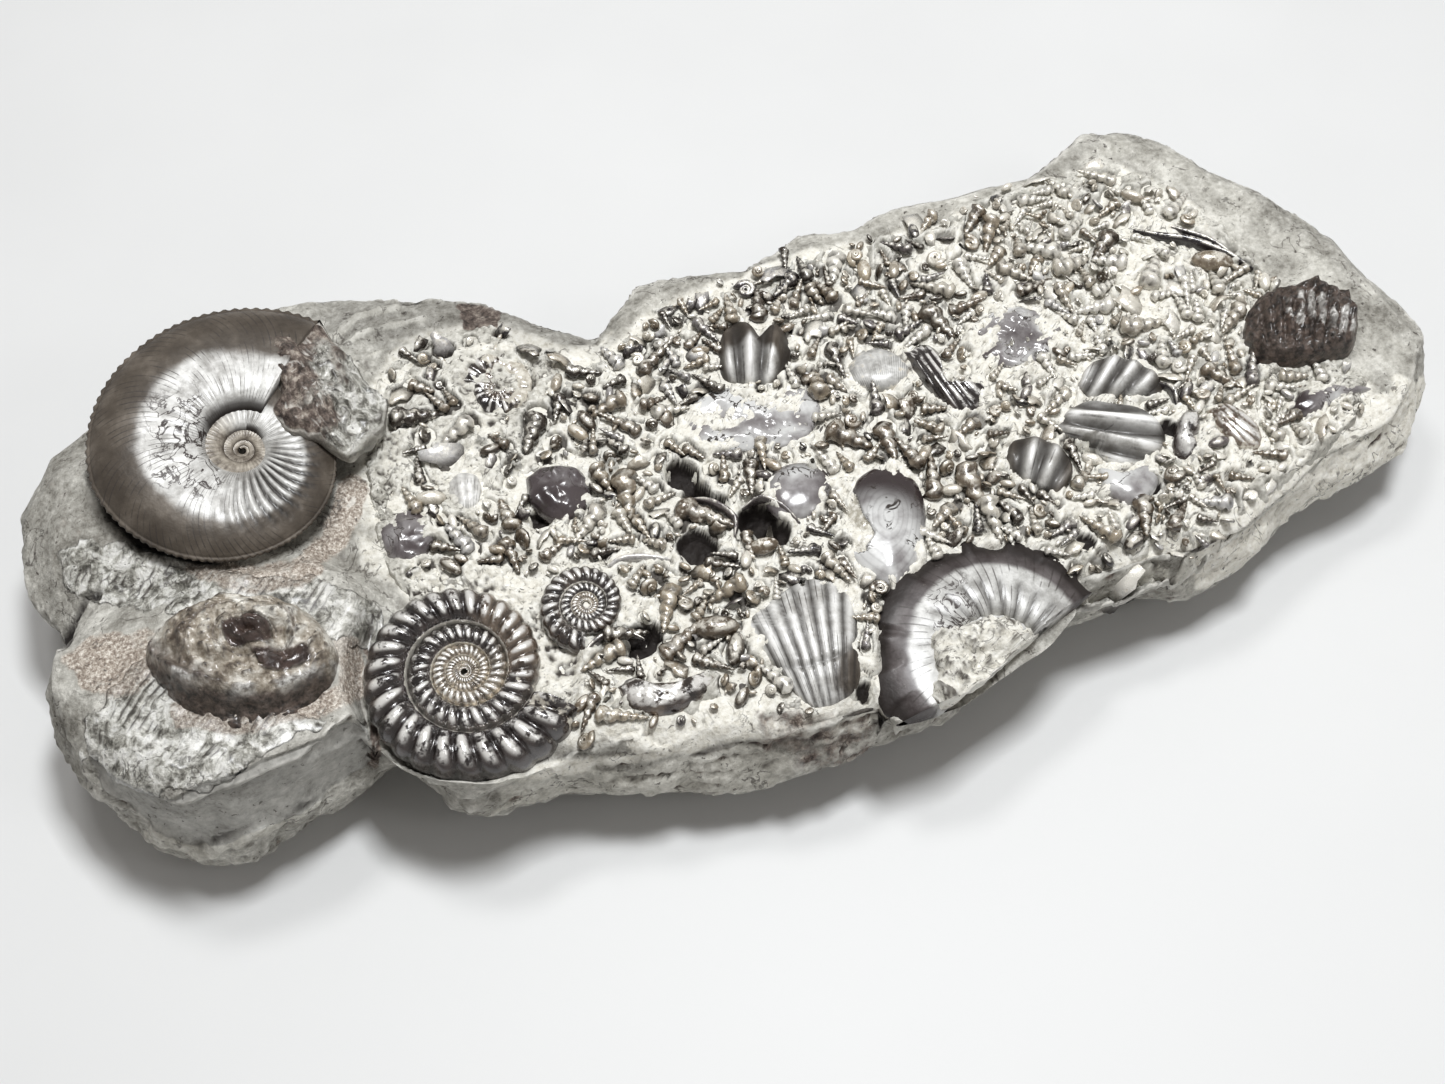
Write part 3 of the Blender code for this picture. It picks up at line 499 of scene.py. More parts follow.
def greyShellFinish():
    f = Finish("smooth grey shell", Coat_Weight=0.7, Coat_Roughness=0.16, Coat_IOR=1.7)
    soft = f.math("ADD", f.math("MULTIPLY", f.noise(6, 4, 0.5), 0.8), f.math("MULTIPLY", f.attribute("tone"), 0.4))
    colour = f.ramp(soft, (0.46, (0.085, 0.070, 0.072)), (0.60, (0.26, 0.245, 0.245)), (0.74, (0.62, 0.62, 0.61)))
    colour = f.mix(f.attribute("band"), colour, (0.045, 0.034, 0.035))
    # painted shade in the grooves and folds, with the dark growth lines and torn edges
    colour = f.mix(f.math("MULTIPLY", f.attribute("groove_and_shade"), 0.8), colour, (0.03, 0.024, 0.022))
    cracks = f.math("MULTIPLY", f.veins(5, 0.018), f.span(f.noise(6, 2), 0.48, 0.56))
    colour = f.mix(cracks, colour, (0.05, 0.042, 0.038))
    dust = f.span(f.blotchy("dust", 2.2, 1.2), 0.45, 0.6)
    colour = f.mix(dust, colour, f.ramp(f.noise(1.6, 6, 0.7), (0.4, (0.44, 0.41, 0.34)), (0.6, (0.88, 0.86, 0.80))))
    rough = f.math("ADD", f.span(f.noise(2.4, 3), 0.35, 0.7, 0.18, 0.36), f.math("MULTIPLY", dust, 0.4))
    return f.finish(colour, rough, (f.math("MULTIPLY", f.noise(1.8, 6, 0.65), dust), 0.9), (f.noise(5, 3), 0.3))


finishes = {
    "rock": rockFinish(),
    "darkShell": darkShellFinish(),
    "silverShell": silverShellFinish(),
    "brownShell": brownShellFinish(),
    "bronzeSnail": snailFinish("bronze snail shell", (0.15, (0.045, 0.034, 0.025)), (0.5, (0.17, 0.132, 0.094)),
                               (0.85, (0.42, 0.36, 0.275))),
    "paleSnail": snailFinish("cream snail shell", (0.15, (0.38, 0.335, 0.27)), (0.5, (0.62, 0.58, 0.50)),
                             (0.85, (0.86, 0.835, 0.77))),
    "greyShell": greyShellFinish(),
    "darkFlake": snailFinish("grey and purple shell flake", (0.15, (0.030, 0.025, 0.027)), (0.5, (0.15, 0.13, 0.13)),
                             (0.85, (0.60, 0.59, 0.58))),
}


# the ground: a map of the height of the stone's top, as it was before the pockets

ground = {
    "step": 0.6,
    "spare": 1.3,          # how far round each shell the pocket is filled
    "opening": 2.4,        # half width of the low cones that are levelled
    # the front and the back line of the part that the tiny shells fill, from left to right
    "crowdFront": ((372, 540), (405, 600), (490, 700), (575, 750), (660, 742), (745, 705), (815, 722), (890, 690),
                   (960, 640), (1080, 602), (1200, 560), (1300, 478), (1372, 405)),
    "crowdBack": ((352, 430), (398, 345), (480, 318), (575, 352), (660, 300), (780, 254), (890, 225), (990, 190),
                  (1105, 158), (1192, 196), (1258, 255), (1318, 332), (1380, 375)),
    # pixel, radius and depth of each hollow, which the crowd's sheet also darkens with painted shade
    "hollows": (((680, 476), 2.8, 4.5), ((697, 494), 2.4, 4.5), ((712, 506), 2.4, 4.0), ((756, 520), 3.2, 4.5),
                ((777, 533), 2.4, 4.0), ((698, 548), 3.2, 3.0), ((642, 640), 3.0, 3.5), ((1085, 540), 1.6, 1.5),
                ((540, 520), 2.0, 2.0), ((1170, 430), 1.8, 2.2), ((1150, 485), 1.6, 2.0), ((865, 690), 1.6, 2.0)),
}


def blurred(values, width):
    # a box blur, three times, over a map
    reach = max(1, round(width / ground["step"]))
    for _ in range(3):
        for axis in (0, 1):
            padded = np.pad(values, [(reach, reach) if k == axis else (0, 0) for k in (0, 1)], mode="edge")
            total = np.cumsum(padded, axis=axis)
            total = np.insert(total, 0, 0, axis=axis)
            size = 2 * reach + 1
            after = np.take(total, range(size, total.shape[axis]), axis=axis)
            before = np.take(total, range(0, total.shape[axis] - size), axis=axis)
            values = (after - before) / size
    return values


def spreadMap(values, reach, choose):
    # the lowest or highest value within reach cells
    for axis in (0, 1):
        best = values
        for k in range(1, reach + 1):
            best = choose(best, choose(np.roll(values, k, axis), np.roll(values, -k, axis)))
        values = best
    return values


def insidePolygon(x, y, polygon):
    odd = np.zeros(np.shape(x), bool)
    for (ax, ay), (bx, by) in zip(polygon, polygon[1:] + polygon[:1]):
        crosses = (ay > y) != (by > y)
        odd ^= crosses & (x < ax + (y - ay) * (bx - ax) / (by - ay + 1e-12))
    return odd


def lineDistance(x, y, line):
    # how far each place is from a line of points
    best = np.full(np.shape(x), 1e9)
    for (ax, ay), (bx, by) in zip(line, line[1:]):
        long = (bx - ax) ** 2 + (by - ay) ** 2 + 1e-12
        t = np.clip(((x - ax) * (bx - ax) + (y - ay) * (by - ay)) / long, 0, 1)
        best = np.minimum(best, np.hypot(x - ax - t * (bx - ax), y - ay - t * (by - ay)))
    return best


def shellFootprints():
    # inside the straight-sided outline of each larger shell, as the pockets are cut
    ways = np.stack([[math.cos(k * math.pi / 12), math.sin(k * math.pi / 12)] for k in range(24)])
    prints = {}
    for name, node in nodes.items():
        if name != "stone_matrix":
            prints[name] = (pointsOf(node)[:, :2] @ ways.T).max(axis=0)
    return ways, prints


def makeGround():
    step = ground["step"]
    xs = np.arange(boxLow[0], boxHigh[0] + step, step)
    ys = np.arange(boxLow[1], boxHigh[1] + step, step)
    tree = treeOf(nodes["stone_matrix"])
    height = np.full((len(ys), len(xs)), np.nan)
    for i, y in enumerate(ys):
        for j, x in enumerate(xs):
            hit = tree.ray_cast(Vector((x, y, 80)), Vector((0, 0, -1)))[0]
            if hit:
                height[i, j] = hit.z
    stone = ~np.isnan(height)
    gx, gy = np.meshgrid(xs, ys)
    spots = np.stack([gx, gy], axis=-1)
    ways, prints = shellFootprints()
    pocket = np.zeros(height.shape, bool)
    for reach in prints.values():
        pocket |= ((spots @ ways.T) <= reach + ground["spare"]).all(axis=-1)
    # the pockets are filled from what lies round them
    known = stone & ~pocket
    filled = np.where(known, height, 0)
    share = blurred(known.astype(float), 5) + 1e-9
    soft = blurred(filled, 5) / share
    wideShare = blurred(known.astype(float), 16) + 1e-9
    soft = np.where(share > 0.02, soft, blurred(filled, 16) / wideShare)
    height = np.where(known, height, soft)
    for _ in range(500):
        ring = (np.roll(height, 1, 0) + np.roll(height, -1, 0) + np.roll(height, 1, 1) + np.roll(height, -1, 1)) / 4
        height = np.where(pocket, ring, height)
    # the low cones are levelled inside the crowd
    crowdLine = [tuple(atHeight(p, 27)[:2]) for p in ground["crowdFront"] + ground["crowdBack"][::-1]]
    crowd = blurred(insidePolygon(gx, gy, crowdLine).astype(float), 2.0)
    reach = round(ground["opening"] / step)
    low = spreadMap(height, reach, np.minimum)
    level = blurred(spreadMap(low, reach, np.maximum), 1.0)
    height = height + (np.minimum(level, height) - height) * smoothStep(0.05, 0.4, crowd)
    # inside each coiled shell the stone lies low, so that its inner whorls show
    for name, shell in shells.items():
        if "bed" in shell:
            share, depth = shell["bed"]
            middle, radius = shell["at"], shell["radius"]
            front, side = (math.tan(math.radians(a)) for a in shell.get("tilt", (0, 0)))
            plane = middle[2] + (gy - middle[1]) * front - (gx - middle[0]) * side - depth
            inside = 1 - smoothStep(radius * share * 0.88, radius * share, np.hypot(gx - middle[0], gy - middle[1]))
            height = height + (np.minimum(height, plane) - height) * inside
    ground.update(xs=xs, ys=ys, height=height, stone=stone, pocket=pocket, crowdMap=crowd)


def mapAt(name, x, y):
    # a map's value at any places, between its cells
    step, values = ground["step"], ground[name]
    u = np.clip((x - ground["xs"][0]) / step, 0, values.shape[1] - 1.001)
    v = np.clip((y - ground["ys"][0]) / step, 0, values.shape[0] - 1.001)
    j, i = u.astype(int), v.astype(int)
    s, t = u - j, v - i
    return ((values[i, j] * (1 - s) + values[i, j + 1] * s) * (1 - t)
            + (values[i + 1, j] * (1 - s) + values[i + 1, j + 1] * s) * t)


def groundAt(pixel, above=0.0):
    # the place on the ground under a pixel
    place = atHeight(pixel, 28)
    for _ in range(4):
        level = float(mapAt("height", np.array([place.x]), np.array([place.y]))[0])
        place = atHeight(pixel, level + above)
    return place


# the stone itself

rockSkin = {
    "voxel": 0.92,
    "plugDepth": 1.5,                  # how far each plug goes into its pocket's floor
    "foot": 0.6,                       # below this the stone stays flat
    # size of the lumps, how high they stand, and how many finer ones lie on them
    "sides": ((15, 1.1, 2), (5.5, 0.55, 2), (2.3, 0.42, 2)),
    "layers": (3.3, 0.45),             # thickness of the beds that show on the sides, and depth of the seams
    "top": ((9, 0.5, 2), (3.5, 0.35, 3)),
    "crowdTop": ((4.2, 0.45, 2), (1.9, 0.30, 2)),
    "sink": 0.5,                       # moves the whole surface in, so that no lump leaves the box
}

# what the photograph shows on the stone: a polygon or a line of pixels, how it is painted, how far it is
# raised or sunk in mm, and how wide its soft edge is in pixels
rockMarks = {
    "bright crystal face": {"inside": ((88, 757), (79, 722), (95, 700), (150, 655), (175, 690), (232, 700), (279, 701),
                                       (330, 722), (270, 751), (235, 769), (164, 795), (132, 787)),
                            "paint": "silver", "lift": 0.5, "soft": 9},
    "clean broken front": {"inside": ((88, 760), (132, 791), (164, 799), (235, 773), (270, 755), (366, 720), (373, 770),
                                      (325, 804), (293, 825), (223, 845), (195, 850), (150, 830), (100, 795)),
                           "paint": "smooth", "lift": -0.7, "soft": 7, "ragged": 0.25},
    "lip below the front": {"along": ((150, 838), (199, 854), (223, 845), (293, 825), (323, 804)), "wide": 6,
                            "paint": "pale", "lift": 0.5, "soft": 6},
    # painted shade fills the crack below the front
    "crack below the front": {"along": ((199, 850), (223, 841), (293, 821), (323, 800)), "wide": 1.2,
                              "paint": "shade_and_dark", "much": 0.7, "lift": -0.5, "soft": 3},
    "silvery rock between the lobes": {"inside": ((70, 600), (66, 560), (110, 545), (180, 555), (250, 575), (330, 580),
                                                  (380, 600), (385, 650), (340, 630), (264, 608), (160, 605)),
                                       "paint": "silver", "lift": 0.2, "soft": 12},
    "sand under the big shell": {"along": ((205, 566), (250, 580), (300, 570), (338, 535), (352, 490)), "wide": 15,
                                 "paint": "gold", "lift": 0.3, "soft": 12},
    "sand round the worn shell": {"along": ((185, 716), (250, 718), (310, 705), (350, 690), (350, 650)), "wide": 14,
                                  "paint": "gold", "lift": 0.2, "soft": 10},
    "sand on the left": {"inside": ((62, 650), (95, 625), (150, 632), (160, 665), (110, 700), (80, 690)),
                         "paint": "gold", "lift": 0.2, "soft": 14},
    "dark left flank": {"inside": ((25, 470), (85, 435), (100, 500), (150, 545), (95, 560), (60, 600), (28, 640)),
                        "paint": "brown", "much": 0.3, "lift": -0.3, "soft": 14},
    # painted shade fills the cavity under the big shell's rim
    "cavity under the big shell": {"inside": ((84, 470), (104, 510), (140, 545), (190, 556), (215, 562), (180, 520),
                                              (120, 470)),
                                   "paint": "shade_and_dark", "lift": -2.0, "soft": 8, "ragged": 0.2},
    # painted shade fills the crease in the left flank
    "crease in the left flank": {"along": ((29, 634), (62, 643), (85, 596), (97, 593)), "wide": 4,
                                 "paint": "shade_and_dark", "lift": -1.6, "soft": 6},
    "crease beside the ribbed shell": {"along": ((366, 610), (372, 700), (376, 770)), "wide": 4,
                                       "paint": "brown", "lift": -0.8, "soft": 6},
    "crumbly right front": {"inside": ((1190, 500), (1300, 440), (1395, 370), (1445, 380), (1430, 450), (1340, 545),
                                       (1240, 605), (1190, 600)),
                            "paint": "cream", "much": 0.75, "lift": 0.0, "soft": 16},
    "grey knob on the front right": {"inside": ((1085, 575), (1110, 552), (1160, 548), (1192, 570), (1190, 605), (1140, 612),
                                                (1095, 605)),
                                     "paint": "brown", "much": 0.35, "lift": 0.6, "soft": 10},
    "cream front strip": {"along": ((540, 770), (610, 760), (700, 748), (760, 728), (830, 735), (890, 712)), "wide": 10,
                          "paint": "cream", "much": 0.7, "lift": 0.0, "soft": 16},
    "brown crust on the front": {"inside": ((760, 716), (800, 706), (850, 704), (880, 716), (868, 742), (838, 766),
                                            (796, 772), (765, 752)),
                                 "paint": "brown", "much": 0.5, "lift": 0.8, "soft": 10},
    # painted shade fills the seam on the front
    "dark seam on the front": {"along": ((560, 752), (610, 758), (680, 762), (740, 742)), "wide": 1.5,
                               "paint": "shade_and_dark", "much": 0.7, "lift": -0.7, "soft": 5, "ragged": 0.5},
    "pale right end": {"inside": ((1060, 180), (1110, 125), (1200, 150), (1330, 240), (1430, 350), (1420, 420),
                                  (1380, 380), (1280, 400), (1250, 300), (1200, 210), (1120, 170)),
                       "paint": "pale", "much": 0.5, "lift": 0.0, "soft": 25},
    "pale back margin": {"inside": ((600, 350), (620, 300), (800, 225), (960, 185), (1060, 160), (1075, 175), (960, 215),
                                    (800, 255), (690, 300)),
                         "paint": "pale", "much": 0.5, "lift": 0.0, "soft": 18},
    "pale plateau": {"inside": ((340, 480), (390, 380), (440, 350), (590, 350), (600, 370), (500, 500), (400, 600),
                                (350, 560)),
                     "paint": "pale", "much": 0.0, "lift": 0.0, "soft": 30},
    "pale ground beside the crowd": {"inside": ((345, 480), (372, 455), (430, 440), (455, 500), (440, 560), (400, 590),
                                                (350, 575)),
                                     "paint": "cream", "much": 0.55, "lift": 0.0, "soft": 22},
    "pale front face": {"inside": ((500, 775), (620, 762), (760, 745), (800, 760), (760, 800), (620, 812), (500, 812)),
                        "paint": "pale", "lift": 0.0, "soft": 16},
    # the grey plateau is darkened with a quarter of the painted shade colour
    "grey plateau": {"inside": ((300, 330), (345, 295), (440, 290), (590, 320), (596, 350), (480, 345), (400, 365),
                                (350, 330)),
                     "paint": "shade_and_dark", "much": 0.24, "lift": 0.0, "soft": 24},
    "sugary bench": {"inside": ((575, 725), (600, 700), (660, 690), (745, 700), (765, 720), (730, 745), (640, 760)),
                     "paint": "cream", "much": 0.9, "lift": 0.3, "soft": 10},
    "first fan ridge": {"along": ((332, 352), (370, 330), (425, 318)), "wide": 3, "paint": "pale", "lift": 0.9, "soft": 4},
    "second fan ridge": {"along": ((345, 362), (390, 345), (430, 338)), "wide": 3, "paint": "pale", "lift": 0.8,
                         "soft": 4},
    "third fan ridge": {"along": ((328, 338), (355, 318), (395, 306)), "wide": 3, "paint": "pale", "lift": 0.7, "soft": 4},
    "dark patch on the plateau": {"inside": ((462, 305), (490, 308), (492, 332), (468, 332)), "paint": "brown",
                                  "lift": -0.4, "soft": 5},
}


def markSkin(points, facing, values):
    # paints and lifts what the photograph shows, and gives each point's lift
    u, v = toPixels(points)
    wander = 13 * lumpsAt(points, 8.0, 53, 2) + 6 * lumpsAt(points, 2.8, 51, 3)
    lift = np.zeros(len(points))
    for mark in rockMarks.values():
        if "inside" in mark:
            line = mark["inside"]
            far = lineDistance(u, v, line + line[:1])
            far = np.where(insidePolygon(u, v, line), -far, far)
        else:
            far = lineDistance(u, v, mark["along"]) - mark["wide"]
        ragged = wander * mark.get("ragged", 1.0 if "inside" in mark else 0.3)
        much = facing * (1 - smoothStep(-mark["soft"] / 2, mark["soft"] / 2, far + ragged))
        lift += much * mark["lift"]
        if mark["paint"]:
            values[mark["paint"]] = np.maximum(values[mark["paint"]], much * mark.get("much", 1.0))
    return lift


def plugFor(ways, reach, low, high):
    # an upright prism that fills a pocket
    count = len(ways)
    ring = []
    for k in range(count):
        pair = [k, (k + 1) % count]
        ring.append(np.linalg.solve(ways[pair], reach[pair] + ground["spare"] * 0.7))
    ring = np.array(ring)
    points = np.vstack([np.column_stack([ring, np.full(count, low)]), np.column_stack([ring, np.full(count, high)])])
    base, lid = np.arange(count), np.arange(count) + count
    return points, [tuple(base[::-1]), tuple(lid)] + [
        (base[k], base[(k + 1) % count], lid[(k + 1) % count], lid[k]) for k in range(count)]


def makeRock():
    cage = bmesh.new()
    cage.from_mesh(nodes["stone_matrix"].data)
    ways, prints = shellFootprints()
    for name, reach in prints.items():
        low, high = (corner.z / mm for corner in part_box(name))
        middle = (pointsOf(nodes[name])[:, :2].min(0) + pointsOf(nodes[name])[:, :2].max(0)) / 2
        level = float(mapAt("height", middle[:1], middle[1:])[0])
        points, faces = plugFor(ways, reach, low - rockSkin["plugDepth"], max(low + 0.5, min(level - 0.2, high - 1)))
        corners = [cage.verts.new(Vector(p) * mm) for p in points]
        for face in faces:
            cage.faces.new([corners[k] for k in face])
    mesh = bpy.data.meshes.new("stone body")
    cage.to_mesh(mesh)
    cage.free()
    body = bpy.data.objects.new("stone body", mesh)
    bpy.context.scene.collection.objects.link(body)
    modifier = body.modifiers.new("skin", "REMESH")
    modifier.mode = "VOXEL"
    modifier.voxel_size = rockSkin["voxel"] * mm
    easing = body.modifiers.new("ease", "SMOOTH")
    easing.factor, easing.iterations = 0.5, 3
    graph = bpy.context.evaluated_depsgraph_get()
    graph.update()
    skin = bpy.data.meshes.new_from_object(body.evaluated_get(graph))
    bpy.data.objects.remove(body)
    count = len(skin.vertices)
    points, normals = np.zeros(count * 3), np.zeros(count * 3)
    skin.vertices.foreach_get("co", points)
    skin.vertices.foreach_get("normal", normals)
    points, normals = points.reshape(-1, 3) * 1000, normals.reshape(-1, 3)
    polygons = np.array([p.vertices[:] for p in skin.polygons if len(p.vertices) == 4])
    bpy.data.meshes.remove(skin)
    say(f"the stone's skin has {count} points and {len(polygons)} quads")

    x, y, z = points.T
    level = mapAt("height", x, y)
    crowd = mapAt("crowdMap", x, y)
    pocket = mapAt("pocket", x, y)
    top = np.maximum(smoothStep(0.35, 0.7, normals[:, 2]), (pocket > 0.02) & (z > 15))
    top *= smoothStep(-7, -3.5, z - level)
    z = z + (level - z) * top
    points = np.column_stack([x, y, z])

    values = {key: np.zeros(count) for key in ("cream", "gold", "smooth", "shade_and_dark", "silver", "brown", "pale")}
    back = np.array(cameraFrame()[3])
    facing = np.maximum(smoothStep(0.05, 0.3, normals @ back), top)
    marked = markSkin(points, facing, values)

    def relief(name):
        return sum(high * lumpsAt(points, size, 7, octaves) for size, high, octaves in rockSkin[name])
    # crumbly rock stands in small blocks with cracks between
    near, nextNear = cellsAt(points + 1.6 * lumpsAt(points, 4, 3, 2)[:, None], 6.0, 5)
    cracks = 1 - smoothStep(0.02, 0.16, nextNear - near)
    bare = relief("sides") * (1 - top) + relief("top") * top
    rough = 1 - 0.75 * values["smooth"]
    lift = (bare + (relief("crowdTop") - bare) * crowd * top) * rough
    lift -= 0.4 * cracks * (1 - crowd) * rough * (1 - 0.6 * top)
    thick, deep = rockSkin["layers"]
    beds = np.abs((z + 0.04 * x + 1.3 * lumpsAt(points, 11, 33, 3)) / thick % 1.0 - 0.5) * 2
    seams = smoothStep(0.78, 0.95, beds) * smoothStep(-0.2, 0.3, lumpsAt(points, 9, 35, 2))
    lift -= deep * seams * (1 - top) * rough
    lift += marked - rockSkin["sink"]
    # the crystal face stands in sharp little steps
    steps = np.abs((points @ np.array([0.9, 1.3, 1.6]) + 1.5 * lumpsAt(points, 3, 61, 2)) % 2.0 - 1.0)
    lift += 0.7 * values["silver"] * (steps - 0.5)
    for pixel, radius, depth in ground["hollows"]:
        middle = atHeight(pixel, 27)
        far = np.hypot(x - middle.x, y - middle.y) + 0.5 * lumpsAt(points, 2.2, 9)
        lift -= (1 - smoothStep(radius * 0.6, radius * 1.3, far)) * (depth + 1) * top
    lift *= smoothStep(0.2, 3.0, z)
    points = points + normals * (lift * (1 - top))[:, None]
    points[:, 2] += lift * top
    foot = z < rockSkin["foot"]
    points[foot, 2] = 0
    points[:, 2] = np.maximum(points[:, 2], 0)
    points = np.clip(points, boxLow + 0.02, boxHigh - 0.02)
    points[:, 2][foot] = 0

    values["cream"] = np.maximum(values["cream"], crowd * top * (1 - values["pale"]))
    values["brown"] = np.maximum(values["brown"], (0.3 * cracks + 0.45 * seams * rough) * (1 - top))
    return buildPiece("stone", points, [polygons], finishes["rock"], ["stone_matrix"], values)


# coiled shells

def sectionRing(halfProfile, count):
    # the whorl's section, from the inside seam over the top to the rim, and back below in fewer steps
    upper = curveThrough(halfProfile, count)
    lower = curveThrough(halfProfile, max(5, count // 3))[-2:0:-1] * np.array([1, -1])
    return np.vstack([upper, lower])


def coil(shell):
    ring = sectionRing(shell["section"], shell["around"])
    steps = round(shell["steps"] * shell["turns"])
    # the inner whorls are smaller, so their steps are longer
    back = shell["turns"] * np.linspace(1, 0, steps + 1)[:, None] ** shell.get("stretch", 1.0)
    hand, ribs = shell.get("hand", 1), shell.get("ribs", 0)
    angle = math.radians(shell["mouth"]) - hand * 2 * math.pi * back
    turned = np.degrees(angle) % 360

    def roundTurn(key, without):
        # a value set by the direction in degrees
        return np.interp(turned, *zip(*shell[key])) if key in shell else without + 0 * turned
    outer = shell["radius"] * shell["growth"] ** -back * roundTurn("swell", 1.0)
    half = outer * (1 - shell["inner"]) / 2
    out, up = ring[:, 0][None, :], ring[:, 1][None, :]
    lean = shell.get("lean", 0.0) * (out + shell.get("curl", 0.0) * out ** 2) / max(1, ribs)
    along = (ribs or 40) * (back + lean)
    wave = (0.5 + 0.5 * np.cos(2 * math.pi * along)) ** shell.get("sharp", 1.0)
    force = np.where(back > 1.0, shell.get("innerForce", 1.0), roundTurn("strength", 1.0))
    low, high = shell.get("ribSpan", (-0.95, 1.2))
    fade = smoothStep(low, low + 0.35, out) * (1 - smoothStep(high - 0.3, high, out))
    shoulder = 1 + shell.get("nodes", 0.0) * np.exp(-((out + 0.35) / 0.3) ** 2)
    rib = shell.get("ribDepth", 0) * force * fade * shoulder * (wave - 0.5)
    keel = smoothStep(0.98, 1.06, out) * shell.get("keelTeeth", 0) * np.cos(2 * math.pi * 95 * back)
    reach = outer - half + half * (out * (1 + rib * 0.5) + keel)
    rise = half * shell["squash"] * up * (1 + rib) + shell.get("spire", 0) * (shell["radius"] - outer)
    if "ragged" in shell:
        # the rim is chipped
        rim = np.stack([outer * np.cos(angle) + 0 * up, outer * np.sin(angle) + 0 * up, 3 * up + 0 * outer], axis=-1)
        bite = smoothStep(0.05, 0.5, lumpsAt(rim.reshape(-1, 3), 6.5, 31, 3).reshape(rim.shape[:2]))
        reach = reach - shell["ragged"] * bite * smoothStep(0.55, 0.95, out)
        rise = rise - 0.8 * shell["ragged"] * bite * smoothStep(0.2, 0.6, out) * (up > 0)
    x, y = reach * np.cos(angle), reach * np.sin(angle)
    points, faces = cappedTube(np.stack([x, y, rise + 0 * x], axis=-1), steps + 1, ring.shape[0])
    if hand > 0:
        faces = [f[:, ::-1] for f in faces]

    def spread(value):
        full = (value + 0 * x).ravel()
        return np.append(full, [full[0], full[-1]])
    upper = up > 0.02
    # painted shade on the steep inner wall of the last whorl, here
    wall = roundTurn("shade", 0.0) * (back < 1.05) * (1 - smoothStep(-0.92, -0.72, out))
    line = shell.get("innerLine", 0.0) * (back > 0.9) * (1 - smoothStep(-0.97, -0.80, out))
    values = {
        # painted shade in the valleys between the ribs and along the inner seam
        "groove_and_shade": spread(np.maximum((1 - wave) ** shell.get("narrow", 1.5) * force * fade if ribs else 0, line)),
        # painted shade on the inner wall, and the rim's own darker colour
        "shade_and_dark_rim": spread(np.maximum(wall, shell.get("rimDark", 0.0) * smoothStep(0.42, 0.62, out)) * upper),
        "band": spread(smoothStep(*shell.get("band", (2, 3)), out + roundTurn("bandShift", 0.0))),
        "seam": spread((1 - smoothStep(-0.95, -0.74, out)) * shell.get("seam", 0.8) * upper),
        "inmost": spread(smoothStep(*shell.get("inmost", (8, 9)), back)),
        "bronze": spread(np.where(back > 1, shell.get("innerBronze", 0.25), roundTurn("bronze", 0.0))),
        "dust": spread(roundTurn("dust", 0.0) * (back <= 1)) + shell.get("dustAll", 0.0),
        "along": spread(along),
        "dim": spread(shell.get("dim", 0.0)),
        "purple": spread(shell.get("purple", 0.0)),
    }
    return points, faces, values


def placed(points, shell):
    front, side = shell.get("tilt", (0, 0))
    turn = (Matrix.Translation(shell["at"]) @ Matrix.Rotation(math.radians(front), 4, "X")
            @ Matrix.Rotation(math.radians(side), 4, "Y") @ Matrix.Rotation(math.radians(shell.get("roll", 0)), 4, "Z"))
    turn = np.array(turn)
    return points @ turn[:3, :3].T + turn[:3, 3]


roundWhorl = ((-1, 0), (-0.88, 0.55), (-0.45, 0.93), (0.1, 1.0), (0.6, 0.80), (0.9, 0.42), (1, 0))
boldWhorl = ((-1, 0), (-0.93, 0.62), (-0.6, 1.0), (-0.1, 1.02), (0.45, 0.86), (0.85, 0.48), (1, 0))
keeledWhorl = ((-1, 0), (-0.97, 0.45), (-0.8, 0.82), (-0.4, 0.98), (0.1, 1.0), (0.5, 0.86), (0.78, 0.58),
               (0.95, 0.28), (0.985, 0.16), (1.04, 0.13), (1.06, 0))
flatWhorl = ((-1, 0), (-0.95, 0.6), (-0.7, 0.95), (-0.2, 1.0), (0.3, 0.88), (0.7, 0.62), (0.95, 0.3), (1, 0))

